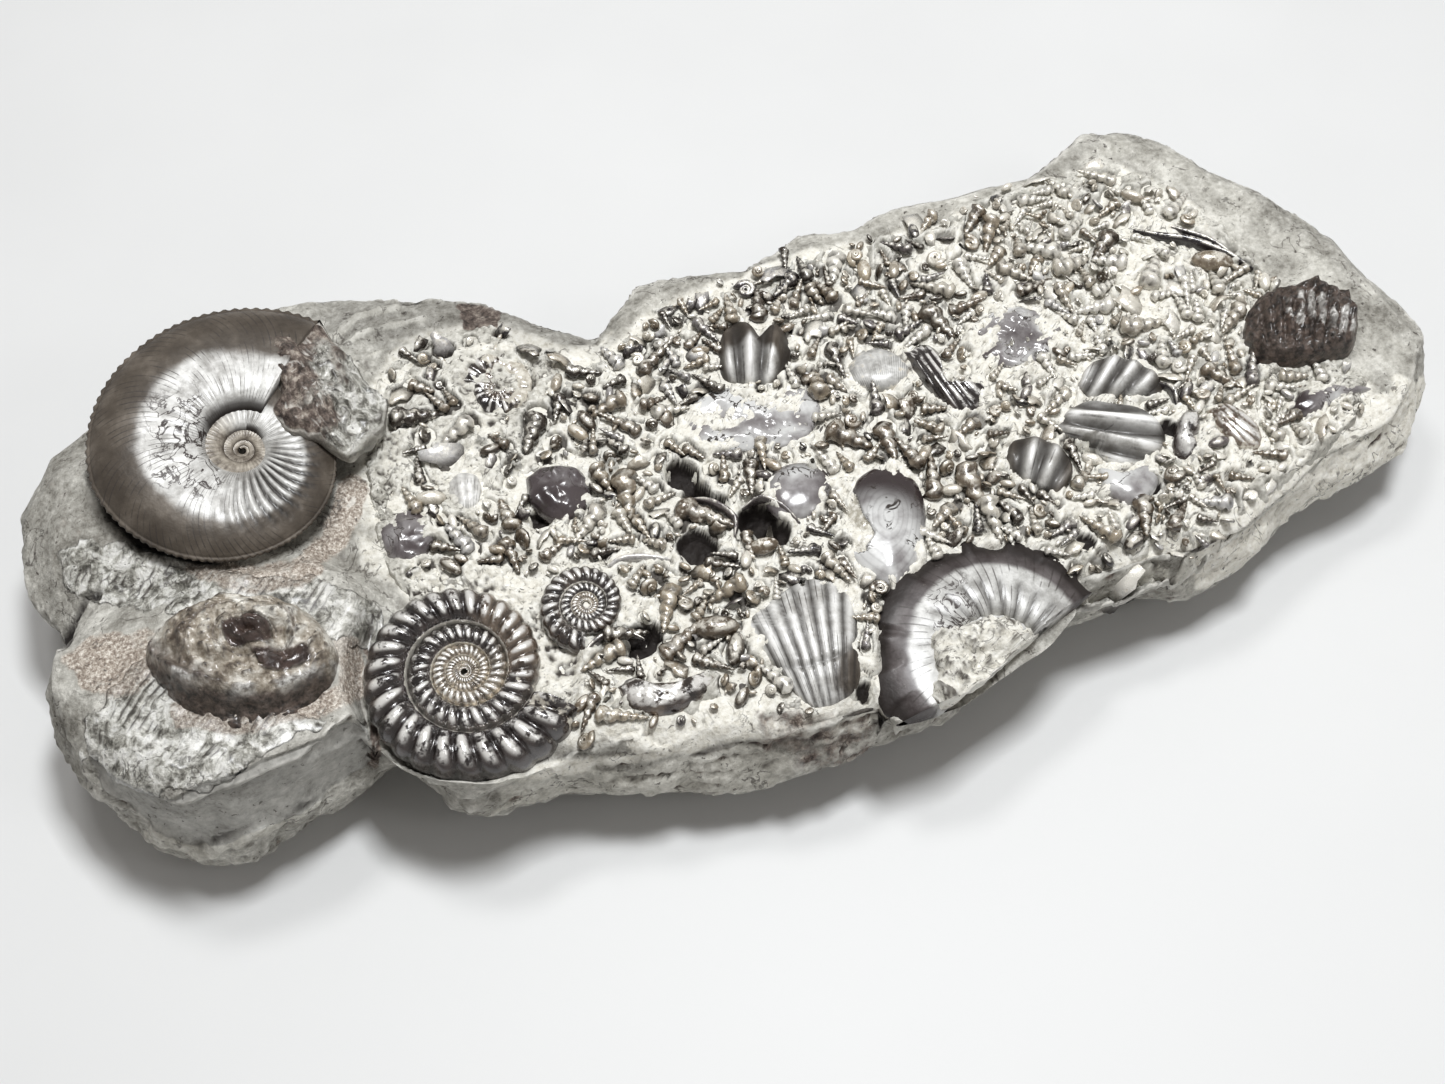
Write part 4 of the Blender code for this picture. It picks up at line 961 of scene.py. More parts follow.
# angles are degrees round the shell from the stone's long axis, and counts of ribs are for one turn
shells = {
    "big_smooth_ammonite": {
        "at": (-80.6, 20.6, 37.4), "radius": 27.3, "growth": 1.95, "inner": 0.225, "turns": 4.2, "mouth": 48,
        "swell": ((0, 0.91), (60, 1.0), (120, 1.05), (180, 1.13), (225, 1.07), (270, 1.0), (320, 0.95), (360, 0.91)),
        "shade": ((0, 0), (15, 0), (40, 1), (130, 1), (165, 0), (360, 0)), "innerLine": 1.0,
        "hand": -1, "squash": 0.44, "tilt": (9, 7), "section": keeledWhorl, "around": 24, "steps": 250,
        "stretch": 1.25, "ribs": 40, "ribDepth": 0.11, "sharp": 0.5, "lean": -0.9, "curl": 0.9, "innerForce": 0.45,
        "strength": ((0, 0.5), (40, 0.14), (90, 0.14), (130, 0.22), (165, 0.14), (200, 0.05), (235, 0.2),
                     (258, 1.0), (285, 2.1), (315, 2.0), (340, 1.1), (360, 0.5)),
        "ribSpan": (-0.95, 0.72), "band": (0.12, 0.48), "keelTeeth": 0.02, "seam": 0.0, "bed": (0.8, 2.0),
        "bandShift": ((0, 0.15), (60, 0.35), (120, 0.1), (180, 0.12), (240, 0.05), (300, 0.0), (360, 0.15)),
        "sutures": ((145, 400), (200, 385), (214, 440), (226, 486), (200, 500), (150, 483)),
        "inmost": (1.05, 1.25), "dim": 0.7, "finish": "silverShell", "slot": "silver_shell",
    },
    "ribbed_ammonite": {
        "at": (-57.35, -26.2, 28.3), "radius": 20.2, "growth": 1.74, "inner": 0.56, "turns": 6.2, "mouth": 320,
        "squash": 1.05, "tilt": (9, 0), "section": roundWhorl, "around": 18, "steps": 190, "stretch": 1.35,
        "ribs": 27, "ribDepth": 0.30, "sharp": 0.42, "lean": 0.2, "nodes": 0.0, "bed": (0.96, 1.2),
        "inmost": (1.75, 2.05), "seam": 0.9, "dust": ((0, 0.1), (200, 0), (295, 0.0), (312, 0.45), (325, 0.45), (340, 0.1)),
        "bronze": ((0, 0.8), (50, 0.7), (80, 0.25), (180, 0.1), (320, 0.3), (345, 0.6), (360, 0.8)),
        "finish": "darkShell", "slot": "dark_shell",
    },
    "small_ribbed_ammonite": {
        "at": (-35.35, -21.7, 29.0), "radius": 8.6, "growth": 1.75, "inner": 0.55, "turns": 4.2, "mouth": 250,
        "squash": 0.95, "tilt": (9, 0), "section": roundWhorl, "around": 13, "steps": 130, "bed": (0.95, 0.6),
        "stretch": 1.3, "ribs": 22, "ribDepth": 0.34, "sharp": 0.5, "lean": 0.2, "inmost": (1.9, 2.3), "seam": 0.9,
        "bronze": ((0, 0.4), (360, 0.4)), "finish": "darkShell", "slot": "dark_shell",
    },
    "half_ammonite": {
        "at": (24.5, -52.0, 25.3), "radius": 21.0, "growth": 1.9, "inner": 0.33, "turns": 2.6, "mouth": 205,
        "swell": ((0, 1.44), (90, 1.23), (180, 1.045), (205, 1.0), (270, 1.2), (340, 1.49), (360, 1.44)),
        "squash": 0.34, "tilt": (8, 0), "section": flatWhorl, "around": 20, "steps": 250, "ragged": 0.9,
        "ribs": 25, "ribDepth": 0.07, "sharp": 0.30, "narrow": 0.85, "lean": 0.5, "band": (-0.12, 0.18), "bed": (0.97, 1.0),
        "bandShift": ((0, -0.15), (60, -0.22), (90, -0.22), (150, -0.08), (205, 0), (330, -0.15), (360, -0.15)), "rimDark": 0.85,
        "sutures": ((928, 590), (962, 572), (978, 612), (962, 640), (930, 645)),
        "strength": ((0, 1.0), (95, 1.0), (125, 0.45), (200, 0.3), (330, 0.35), (360, 1.0)),
        "ribSpan": (-1.3, 0.02), "seam": 0.0, "innerLine": 0.9, "broken": ((25.65, -52.7), 19),
        "dust": ((0, 0.22), (360, 0.22)), "purple": 1.0, "dim": 1.0, "finish": "silverShell", "slot": "silver_shell",
    },
    "old_faint_ammonite": {
        "at": (-36.35, 24.8, 27.9), "radius": 7.5, "growth": 1.7, "inner": 0.5, "turns": 3.2, "mouth": 150,
        "squash": 0.6, "tilt": (4, 0), "section": roundWhorl, "around": 12, "steps": 130,
        "ribs": 18, "ribDepth": 0.20, "wear": ((2.6, 0.6, 3),), "bed": (0.9, 0.4), "dustAll": 0.30,
        "dust": ((0, 0.4), (90, 0.25), (120, -0.1), (250, -0.1), (290, 0.35), (360, 0.4)),
        "bronze": ((0, 0.9), (150, 0.3), (250, 0.3), (360, 0.9)), "innerBronze": 1.0,
        "finish": "darkShell", "slot": "stone",
    },
}


def breakOff(points, faces, values, line):
    # keeps what lies behind an upright plane through a point, and closes the cut
    (x, y), turn = line
    away = Vector((math.sin(math.radians(turn)), -math.cos(math.radians(turn)), 0))
    cage = bmesh.new()
    layers = {key: cage.verts.layers.float.new(key) for key in values}
    corners = []
    for k, point in enumerate(points):
        corner = cage.verts.new(point)
        for key, layer in layers.items():
            corner[layer] = values[key][k]
        corners.append(corner)
    for group in faces:
        for face in group.tolist():
            cage.faces.new([corners[k] for k in face])
    bmesh.ops.bisect_plane(cage, geom=cage.verts[:] + cage.edges[:] + cage.faces[:], dist=1e-4,
                           plane_co=(x, y, 0), plane_no=away, clear_outer=True)
    bmesh.ops.holes_fill(cage, edges=[e for e in cage.edges if e.is_boundary], sides=0)
    bmesh.ops.triangulate(cage, faces=[f for f in cage.faces if len(f.verts) > 4])
    cage.verts.index_update()
    kept = np.array([v.co[:] for v in cage.verts])
    left = {key: np.array([v[layer] for v in cage.verts]) for key, layer in layers.items()}
    sides = [[v.index for v in f.verts] for f in cage.faces]
    cage.free()
    return kept, [np.array([s for s in sides if len(s) == n]) for n in (3, 4)], left


def makeShells():
    for name, shell in shells.items():
        points, faces, values = coil(shell)
        points = placed(points, shell)
        for size, high, octaves in shell.get("wear", ()):
            points[:, 2] += high * lumpsAt(points, size, 4, octaves)
        if "sutures" in shell:
            u, v = toPixels(points)
            far = lineDistance(u, v, shell["sutures"] + shell["sutures"][:1])
            values["sutures"] = smoothStep(-8, 8, np.where(insidePolygon(u, v, shell["sutures"]), far, -far))
        if "broken" in shell:
            points, faces, values = breakOff(points, faces, values, shell["broken"])
        points = np.clip(points, boxLow + 0.02, boxHigh - 0.02)
        piece = buildPiece(name + "_shell", points, faces, finishes[shell["finish"]], [name], values)
        shell["piece"] = piece
        say(f"{name} has {len(points)} points")


# smooth and ribbed pieces of shell: low domes over an outline of pixels, with ribs that spread from one pixel

domes = {
    "worn_brown_shell": {
        "outline": ((146, 656), (152, 640), (172, 622), (200, 611), (240, 603), (282, 605), (312, 618), (332, 640),
                    (338, 662), (324, 694), (296, 716), (262, 729), (225, 729), (195, 718), (168, 700), (148, 676)),
        "high": 8.4, "peak": (246, 632), "finish": "brownShell", "slot": "brown_shell", "steep": 0.62, "mesh": (120, 52),
        "replaced": "worn_brown_ammonite", "lumps": 1.6, "sink": 2.0, "shade_and_dark": 0.1,
        "ledge": ((143, 654), (160, 672), (190, 690), (232, 696), (275, 692), (322, 676)),
        "navel": ((247, 628), 1.7, (52, 1.75)),
        "glazed": ((252, 649), (280, 646), (308, 647), (312, 660), (285, 667), (262, 664)),
    },
    "edge_on_shell": {
        "outline": ((1243, 345), (1244, 322), (1256, 304), (1280, 293), (1312, 288), (1340, 294), (1352, 312), (1355, 335),
                    (1349, 356), (1325, 364), (1290, 369), (1258, 364)),
        "high": 6.0, "peak": (1300, 330), "finish": "brownShell", "slot": "brown_shell", "shade_and_dark": 0.97,
        "replaced": "edge_on_ammonite", "rays": ((1302, 620), 0.035, 0.20), "lumps": 1.7, "steep": 0.35, "mesh": (90, 34),
        "frost_and_highlight": ((1284, 286), (1345, 290), (1356, 330), (1335, 338), (1322, 318), (1300, 322), (1286, 308)),
    },
    "smooth_oval": {
        "outline": ((845, 505), (858, 478), (885, 465), (912, 475), (926, 510), (920, 555), (897, 585), (870, 575),
                    (848, 548)),
        "high": 2.6, "peak": (888, 522), "finish": "greyShell", "tone": 0.85, "slot": "grey_shell", "dust": 0.05, "edge": ((878, 545), -32, -66),
        "mesh": (110, 40), "torn": ((836, 500), (850, 490), (858, 504), (864, 518), (873, 531), (862, 546), (846, 548), (836, 530)),
        "replaced": "smooth_oval_shell", "lines": 0.25,
    },
    "pale_valve_sheet": {
        "outline": ((680, 425), (700, 398), (735, 386), (765, 392), (800, 388), (820, 405), (812, 430), (790, 445),
                    (745, 450), (700, 448)),
        "high": 1.1, "peak": (755, 418), "finish": "greyShell", "tone": 0.70, "slot": "grey_shell", "dust": 0.16,
        "replaced": "pale_valve", "lumps": 0.7,
    },
    "purple_valve_sheet": {
        "outline": ((965, 335), (985, 315), (1012, 305), (1045, 312), (1062, 330), (1050, 355), (1015, 368),
                    (980, 358)),
        "high": 1.3, "peak": (1012, 335), "finish": "greyShell", "tone": 0.50, "slot": "grey_shell", "dust": 0.32,
        "replaced": "purple_valve", "lumps": 0.9,
    },
    "dark_valve_sheet": {
        "outline": ((762, 492), (775, 470), (800, 462), (825, 470), (832, 492), (815, 515), (785, 520), (768, 508)),
        "high": 2.0, "peak": (797, 488), "finish": "greyShell", "tone": 0.60, "slot": "grey_shell", "dust": 0.10,
        "replaced": "dark_valve", "edge": ((797, 492), -16, -40),
    },
    "ribbed_piece_back_shell": {
        "outline": ((718, 358), (722, 335), (738, 322), (752, 330), (762, 338), (775, 326), (789, 340), (790, 362),
                    (775, 382), (748, 385), (724, 378)),
        "high": 4.2, "peak": (752, 357), "finish": "silverShell", "slot": "dark_shell", "sharp": 1.1, "narrow": 0.9,
        "replaced": "ribbed_piece_back", "rays": ((750, 505), 0.155, 0.5), "edge": ((752, 362), -18, -34), "crest": 0.8,
    },
    "ribbed_piece_middle_shell": {
        "outline": ((902, 352), (922, 344), (938, 352), (944, 376), (960, 396), (984, 386), (990, 394), (978, 412),
                    (955, 414), (930, 392)),
        "high": 2.8, "peak": (942, 390), "finish": "darkShell", "slot": "dark_shell", "bronze": 0.2,
        "replaced": "ribbed_piece_middle", "rays": ((850, 250), 0.05, 0.2), "dark": 1.0,
    },
    "ribbed_piece_right_shell": {
        "outline": ((1056, 428), (1066, 412), (1085, 402), (1112, 404), (1140, 408), (1158, 422), (1166, 440),
                    (1152, 458), (1124, 466), (1096, 458), (1074, 446)),
        "high": 4.2, "peak": (1112, 434), "finish": "silverShell", "slot": "dark_shell", "dust": 0.12,
        "sharp": 1.0, "narrow": 0.8, "crest": 0.9, "replaced": "ribbed_piece_right", "rays": ((900, 395), 0.098, 0.5),
        "edge": ((1112, 430), -34, -66), "dark": 1.0,
    },
    "rolls_behind": {
        "outline": ((1076, 388), (1086, 368), (1106, 358), (1134, 362), (1158, 376), (1162, 392), (1140, 400),
                    (1112, 396), (1090, 398)),
        "high": 3.6, "peak": (1118, 380), "finish": "silverShell", "slot": "dark_shell", "dust": 0.1,
        "sharp": 1.0, "narrow": 0.8, "crest": 0.8, "rays": ((1020, 520), 0.105, 0.5), "edge": ((1118, 380), -24, -50), "dark": 1.0,
        "mesh": (48, 14),
    },
    "smooth_sheet_below": {
        "outline": ((1098, 468), (1122, 472), (1150, 464), (1160, 474), (1152, 494), (1128, 504), (1106, 490)),
        "high": 1.8, "peak": (1130, 482), "finish": "greyShell", "tone": 0.72, "slot": "grey_shell", "mesh": (36, 11),
    },
    "black_blob": {
        "outline": ((1174, 424), (1184, 411), (1198, 414), (1200, 430), (1192, 440), (1198, 454), (1184, 462),
                    (1172, 450)),
        "high": 2.6, "peak": (1186, 434), "finish": "darkShell", "slot": "dark_shell", "mesh": (36, 11), "lumps": 0.6,
    },
    "ribbed_piece_small_shell": {
        "outline": ((1005, 458), (1012, 442), (1030, 438), (1050, 442), (1070, 458), (1072, 478), (1058, 494),
                    (1035, 486), (1015, 474)),
        "high": 3.6, "peak": (1040, 464), "finish": "silverShell", "slot": "dark_shell",
        "replaced": "ribbed_piece_small", "rays": ((1010, 560), 0.2, 0.5), "edge": ((1040, 464), -12, -36),
        "sharp": 1.2, "narrow": 0.8, "crest": 0.7,
    },
    "brown_crescent": {
        "outline": ((616, 688), (628, 678), (652, 684), (682, 682), (706, 672), (716, 680), (704, 698), (676, 714),
                    (646, 716), (626, 706)),
        "high": 2.8, "peak": (664, 698), "finish": "darkShell", "slot": "dark_shell", "bronze": 0.45, "dust": 0.12,
        "lumps": 0.5,
    },
    "silver_chip": {
        "outline": ((448, 482), (460, 472), (478, 476), (481, 498), (468, 510), (450, 502)),
        "high": 1.4, "peak": (465, 490), "finish": "silverShell", "slot": "silver_shell", "mesh": (36, 11),
        "rays": ((470, 560), 0.12, 0.1),
    },
    "purple_chip": {
        "outline": ((378, 530), (390, 512), (412, 508), (430, 520), (432, 545), (412, 562), (388, 556)),
        "high": 1.6, "peak": (405, 535), "finish": "greyShell", "tone": 0.25, "slot": "grey_shell", "mesh": (36, 11),
        "lumps": 0.7,
    },
    "dark_chip": {
        "outline": ((524, 478), (545, 464), (575, 468), (591, 490), (580, 515), (550, 520), (530, 503)),
        "high": 2.4, "peak": (557, 492), "finish": "greyShell", "tone": 0.1, "slot": "grey_shell", "mesh": (36, 11),
        "lumps": 1.1, "edge": ((545, 500), 20, 8),
    },
    "pale_oval_valve": {
        "outline": ((847, 368), (858, 352), (880, 348), (902, 358), (910, 374), (895, 388), (868, 390), (852, 382)),
        "high": 2.0, "peak": (880, 368), "finish": "silverShell", "slot": "silver_shell", "mesh": (36, 11),
        "rays": ((900, 460), 0.06, 0.08), "dust": 0.3, "dim": 0.8,
    },
    "striped_brown_shell": {
        "outline": ((1206, 410), (1222, 402), (1245, 412), (1261, 430), (1262, 448), (1244, 450), (1222, 436)),
        "high": 2.2, "peak": (1234, 428), "finish": "darkShell", "slot": "brown_shell", "mesh": (36, 11), "bronze": 1.0,
        "rays": ((1130, 330), 0.05, 0.12), "dust": 0.33,
    },
    "grey_end_shell": {
        "outline": ((1292, 408), (1300, 392), (1325, 385), (1352, 384), (1372, 388), (1350, 396), (1325, 408),
                    (1305, 415)),
        "high": 1.5, "peak": (1320, 397), "finish": "greyShell", "tone": 0.4, "slot": "grey_shell", "mesh": (36, 11),
        "edge": ((1300, 402), 14, 6),
    },
    "body_chamber_shell": {
        "outline": ((741, 626), (768, 602), (802, 580), (826, 580), (845, 586), (855, 612), (860, 640), (859, 682),
                    (840, 700), (816, 707), (797, 694), (778, 668), (758, 648)),
        "high": 2.8, "peak": (812, 640), "finish": "silverShell", "slot": "silver_shell",
        "replaced": "body_chamber_piece", "rays": ((850, 800), 0.075, 0.10), "edge": ((868, 672), 50, 18),
        "sharp": 0.5, "narrow": 0.8, "dark": 1.0, "mesh": (96, 34), "dim": 0.25, "crest": 0.4,
        "fold": ((777, 665), (808, 664), (842, 652), (860, 640)),
    },
}


def dome(spec):
    around, rings = spec.get("mesh", (72, 22))
    line = curveThrough([*spec["outline"], spec["outline"][0]], around + 1)[:-1]
    rim = np.array([groundAt(p) for p in line])
    peak = np.array(groundAt(spec["peak"]))
    share = np.linspace(1, 0.03, rings)[:, None, None]
    flat = peak + (rim - peak) * share
    x, y = flat[..., 0], flat[..., 1]
    level = mapAt("height", x.ravel(), y.ravel()).reshape(rings, around)
    rise = spec["high"] * np.clip(1 - share[..., 0] ** 2.4, 0, 1) ** spec.get("steep", 0.6) + 0 * level
    surface = np.stack([x, y, level + rise], axis=-1).reshape(-1, 3)
    u, v = toPixels(surface)
    groove_and_shade, along, band, crest = np.zeros((4, len(u)))
    # stone sticks to the shell mostly near its rim
    if "rays" in spec:
        focus, width, depth = spec["rays"]
        turn = np.arctan2(u - focus[0], focus[1] - v) / width
        wave = (0.5 + 0.5 * np.cos(2 * math.pi * turn)) ** spec.get("sharp", 0.55)
        rise = rise * (1 + depth * (wave - 0.6).reshape(rise.shape))
        # painted shade in the valleys between the rays
        groove_and_shade, along = (1 - wave) ** spec.get("narrow", 1.4) * spec.get("dark", min(1.0, depth * 4)), turn
        # painted highlight along the crests
        crest = wave ** 4 * spec.get("crest", 0.0) * smoothStep(-0.5, 0.1, lumpsAt(surface, 3.5, 91, 2))
    if "lines" in spec:
        wave = (0.5 + 0.5 * np.cos(2 * math.pi * 8 * share[..., 0] + 0 * level)).ravel()
        groove_and_shade = spec["lines"] * wave ** 5
    if "lumps" in spec:
        rise = rise + spec["lumps"] * lumpsAt(surface, 3.2, 71, 4).reshape(rise.shape)
    dust = spec.get("dust", 0.0) + 0.25 * (share[..., 0] ** 6 + 0 * level).ravel()
    if "torn" in spec:
        # the shell is gone here, and the stone inside it shows
        gone = insidePolygon(u, v, spec["torn"]) | (lineDistance(u, v, spec["torn"]) < 2 + 2 * lumpsAt(surface, 2, 75))
        rise = rise - (0.7 * gone).reshape(rise.shape) + (0.5 * gone * lumpsAt(surface, 1.4, 77, 2)).reshape(rise.shape)
        dust = np.maximum(dust, 1.0 * gone)
        far = lineDistance(u, v, spec["torn"] + spec["torn"][:1])
        groove_and_shade = np.maximum(groove_and_shade, 0.9 * (1 - smoothStep(1.0, 3.5, far)))
    if "edge" in spec:
        # dark towards a place, or away from it where the distances are below nothing
        (ex, ey), far, close = spec["edge"]
        band = smoothStep(min(abs(far), abs(close)), max(abs(far), abs(close)), np.hypot(u - ex, v - ey))
        band = band if far < 0 else 1 - band
    if "fold" in spec:
        # painted shade in the fold
        near = 1 - smoothStep(0, 5, lineDistance(u, v, spec["fold"]))
        rise = rise - (near * 0.7).reshape(rise.shape)
        groove_and_shade = np.maximum(groove_and_shade, near * 0.7)
    glazed, dark, frost_and_highlight = np.zeros((3, len(u)))
    if "glazed" in spec:
        glazed = 1 - smoothStep(-1, 4, np.where(insidePolygon(u, v, spec["glazed"]), -5, lineDistance(u, v, spec["glazed"])))
    if "frost_and_highlight" in spec:
        frost_and_highlight = insidePolygon(u, v, spec["frost_and_highlight"]) * smoothStep(-0.5, 0.2, lumpsAt(surface, 3, 97, 3))
    if "navel" in spec:
        # the small sunken middle of the coil in a glossy disc, and the seam of its whorl round that, both with painted
        # shade
        (nx, ny), deep, (wide, slant) = spec["navel"]
        far = np.hypot(u - nx, (v - ny) * slant) / wide * 2
        rise = rise - (deep * (1 - smoothStep(0.12, 0.42, far))).reshape(rise.shape)
        rise = rise + (0.7 * np.exp(-((far - 0.62) / 0.16) ** 2)).reshape(rise.shape)
        turn = np.log(np.maximum(far, 0.01)) / math.log(1.8) + np.arctan2((v - ny) * slant, u - nx) / (2 * math.pi)
        seam = 1 - smoothStep(0.03, 0.10, np.abs(turn - np.round(turn)))
        seam = seam * smoothStep(0.9, 1.05, far) * (1 - smoothStep(2.0, 2.9, far))
        rise = rise - (0.7 * seam).reshape(rise.shape)
        glazed = np.maximum(glazed, 1 - smoothStep(0.95, 1.1, far + 0.3 * lumpsAt(surface, 2, 99)))
        dark = np.maximum(0.7 * seam, 0.8 * (1 - smoothStep(0.15, 0.4, far)))
    if "ledge" in spec:
        # a rough ridge, with painted shade below it and a painted highlight along its top
        below = lineDistance(u, v, spec["ledge"]) + 4 * lumpsAt(surface, 2.5, 79, 3)
        above = np.interp(u, *zip(*spec["ledge"])) - v
        left = 1 - smoothStep(190, 260, u)
        rise = rise + (1.7 * np.exp(-((above - 10) / 8) ** 2) * (0.35 + 0.65 * left)).reshape(rise.shape)
        rise = rise + (0.6 * left * lumpsAt(surface, 1.8, 73, 2)).reshape(rise.shape)
        shade = np.where(above > 0, 1 - smoothStep(0, 7, below), 1.0)
        brown = 0.8 * np.exp(-((above - 16) / 16) ** 2) * left
        dark = np.maximum(dark, np.maximum(0.95 * shade, brown))
        frost_and_highlight = np.exp(-((above - 7) / 5) ** 2) * smoothStep(-0.4, 0.3, lumpsAt(surface, 3, 97, 3))
        rise = rise - np.where(above > 0, 0.0, 1.5 * smoothStep(0, 7, below)).reshape(rise.shape)
    lift = rise - 0.35
    top = np.stack([x, y, level + lift], axis=-1)
    floor = np.stack([x, y, level + np.minimum(lift - 0.8, -1.2) - spec.get("sink", 0.0)], axis=-1)[::-1]
    points = np.vstack([floor.reshape(-1, 3), top.reshape(-1, 3)])
    count = len(points)
    faces = [gridFaces(2 * rings, around), fanFaces(np.arange(around), count, flip=True),
             fanFaces(np.arange(count - around, count), count + 1)]
    points = np.vstack([points, points[:around].mean(0), points[-around:].mean(0)])

    def spread(value):
        return np.append(np.concatenate([np.zeros(rings * around), value]), [0, value[-1]])
    plain = np.ones(rings * around)
    values = {"tone": spread(plain * spec.get("tone", 0.5)), "groove_and_shade": spread(groove_and_shade), "along": spread(along),
              "band": spread(band), "dust": spread(dust), "bronze": spread(plain * spec.get("bronze", 0)),
              "crest": spread(crest * (1 - band)), "glazed": spread(glazed), "frost_and_highlight": spread(frost_and_highlight), "dim": spread(plain * spec.get("dim", 0)),
              "shade_and_dark": spread(np.maximum(dark, spec.get("shade_and_dark", 0)))}
    return points, faces, values


def makeDomes():
    for name, spec in domes.items():
        points, faces, values = dome(spec)
        buildPiece(name, points, faces, finishes[spec["finish"]],
                   [spec["replaced"]] if "replaced" in spec else (), values)


# curved edges of broken shells that stand out of the stone

edges = {
    "long_edge": {"path": ((1133, 231), (1160, 238), (1190, 243), (1225, 255), (1253, 270)), "half": 0.9, "high": 1.7,
                  "tone": 0.08, "replaced": "long_shell_edge"},
    "second_long_edge": {"path": ((1150, 222), (1180, 232), (1210, 242), (1236, 258)), "half": 0.6, "high": 1.2,
                         "tone": 0.2},
    "thin_valve": {"path": ((608, 567), (622, 560), (645, 558), (671, 560)), "half": 0.6, "high": 1.2, "tone": 0.75},
    "hole_rim": {"path": ((690, 500), (712, 505), (734, 520), (735, 538)), "half": 0.7, "high": 2.0, "tone": 0.45},
    "crescent_near_pit": {"path": ((742, 510), (760, 500), (782, 508), (800, 524)), "half": 0.6, "high": 1.6,
                          "tone": 0.35},
    "dark_crescent": {"path": ((1158, 384), (1172, 392), (1177, 407)), "half": 0.8, "high": 1.6, "tone": 0.2},
    "bright_edge": {"path": ((585, 652), (600, 640), (622, 633), (645, 640)), "half": 0.6, "high": 1.6, "tone": 0.3},
}


def makeEdges():
    count, around = 48, 10
    for name, spec in edges.items():
        path = curveThrough([groundAt(p) for p in spec["path"]], count)
        ahead = np.gradient(path, axis=0)
        side = np.stack([-ahead[:, 1], ahead[:, 0], 0 * ahead[:, 0]], axis=1)
        side /= np.linalg.norm(side, axis=1)[:, None]
        taper = np.sin(np.linspace(0.14, math.pi - 0.14, count))[:, None, None] ** 0.7
        angle = np.linspace(0, 2 * math.pi, around, endpoint=False)[None, :, None]
        rings = path[:, None] + side[:, None] * np.cos(angle) * spec["half"] * taper
        rings = rings + np.array([0, 0, 1]) * (np.sin(angle) * spec["high"] * taper + 0.1)
        points, faces = cappedTube(rings, count, around)
        values = {"tone": np.full(len(points), spec["tone"]), "groove_and_shade": np.zeros(len(points)),
                  "dust": np.full(len(points), 0.1)}
        buildPiece(name, points, faces, finishes["darkFlake"],
                   [spec["replaced"]] if "replaced" in spec else (), values)


# rough lumps of rock that fill or cover parts of the larger shells

lumpsOfRock = {
    # base is the height of the rim in mm at pixels from left to right
    "mouth_rock": {"outline": ((262, 326), (294, 322), (318, 328), (338, 346), (356, 368), (378, 394), (384, 416),
                               (379, 442), (360, 457), (338, 452), (318, 438), (298, 434), (282, 418), (270, 388),
                               (258, 350)),
                   "base": ((255, 39.6), (330, 38.0), (384, 33.5)), "high": 4.2, "deep": 7.5, "peak": (318, 390),
                   "ragged": 0.12, "paint": ("brown", 0.85), "paler": (305, 368)},
    "half_core": {"outline": ((927, 615), (945, 610), (958, 625), (983, 621), (997, 616), (1017, 618), (1038, 634),
                              (1010, 661), (987, 680), (966, 696), (947, 711), (927, 697), (915, 684), (917, 665),
                              (925, 643)),
                  "base": ((900, 26.4), (1040, 26.4)), "high": 2.2, "deep": 4.5, "peak": (968, 656),
                  "ragged": 0.05, "paint": ("cream", 0.6)},
}


def makeLumpsOfRock():
    around, rings = 72, 24
    for name, spec in lumpsOfRock.items():
        line = curveThrough([*spec["outline"], spec["outline"][0]], around + 1)[:-1]
        base = np.interp(line[:, 0], *zip(*spec["base"]))
        rim = np.array([atHeight(p, height) for p, height in zip(line, base)])
        middle = float(np.interp(spec["peak"][0], *zip(*spec["base"])))
        peak = np.array(atHeight(spec["peak"], middle + spec["high"] * 0.5))
        peak[2] = middle
        rim = rim + (rim - peak) * spec["ragged"] * lumpsAt(rim, 3.5, 95, 3)[:, None]
        share = np.linspace(1, 0.03, rings)[:, None, None]
        flat = peak + (rim - peak) * share
        curve = np.clip(1 - share ** 2.2, 0, 1) ** 0.6
        top = flat + np.array([0, 0, 1]) * curve * spec["high"]
        floor = (flat - np.array([0, 0, 1]) * curve * spec["deep"])[::-1]
        points = np.vstack([floor.reshape(-1, 3), top.reshape(-1, 3)])
        rough = 1.5 * lumpsAt(points, 4.0, 81, 4, 0.62)
        near, nextNear = cellsAt(points + lumpsAt(points, 2, 83)[:, None], 3.2, 85)
        rough += 0.9 * (0.5 - near)
        points[:, 2] += rough
        points[:, 0] += 0.5 * lumpsAt(points, 3, 87, 2)
        count = len(points)
        faces = [gridFaces(2 * rings, around), fanFaces(np.arange(around), count, flip=True),
                 fanFaces(np.arange(count - around, count), count + 1)]
        points = np.vstack([points, points[:around].mean(0), points[-around:].mean(0)])
        points = np.clip(points, boxLow + 0.02, boxHigh - 0.02)
        paint, much = spec["paint"]
        u = toPixels(points)[0]
        paler = smoothStep(*spec["paler"], u + 25 * lumpsAt(points, 5, 89, 2)) if "paler" in spec else 0 * u
        values = {paint: much * (1 - paler), "silver": paler}
        buildPiece(name, points, faces, finishes["rock"], (), values)


# the crowd of tiny shells, and the pale stone that they sit in

crowd = {
    "step": 0.31,            # of the fine sheet of stone between the shells
    "lift": 0.45,            # of that sheet over the stone
    "dip": 2.0,              # how far its borders go down
    "deepest": 10.0,         # height of its lowest point, inside the stone
    "moat": (0.6, 1.9),      # width and depth of the groove round each shell
    "seed": 11,
    # how many of each kind, and their sizes in mm
    "spires": (270, 4.4, 10.0),
    "snails": (250, 1.0, 2.7),
    "beans": (110, 1.1, 2.9),
    "flakes": (170, 1.6, 5.0),
    "crumbs": (300, 0.4, 1.0),
    "overlap": 0.72,         # under one lets neighbours touch and cross
    "sparse": ((340, 500), (385, 340), (480, 300), (600, 340), (610, 400), (520, 440), (440, 560), (380, 560)),
    "clear": 0.93,           # share of each larger shell's size that is kept free
}


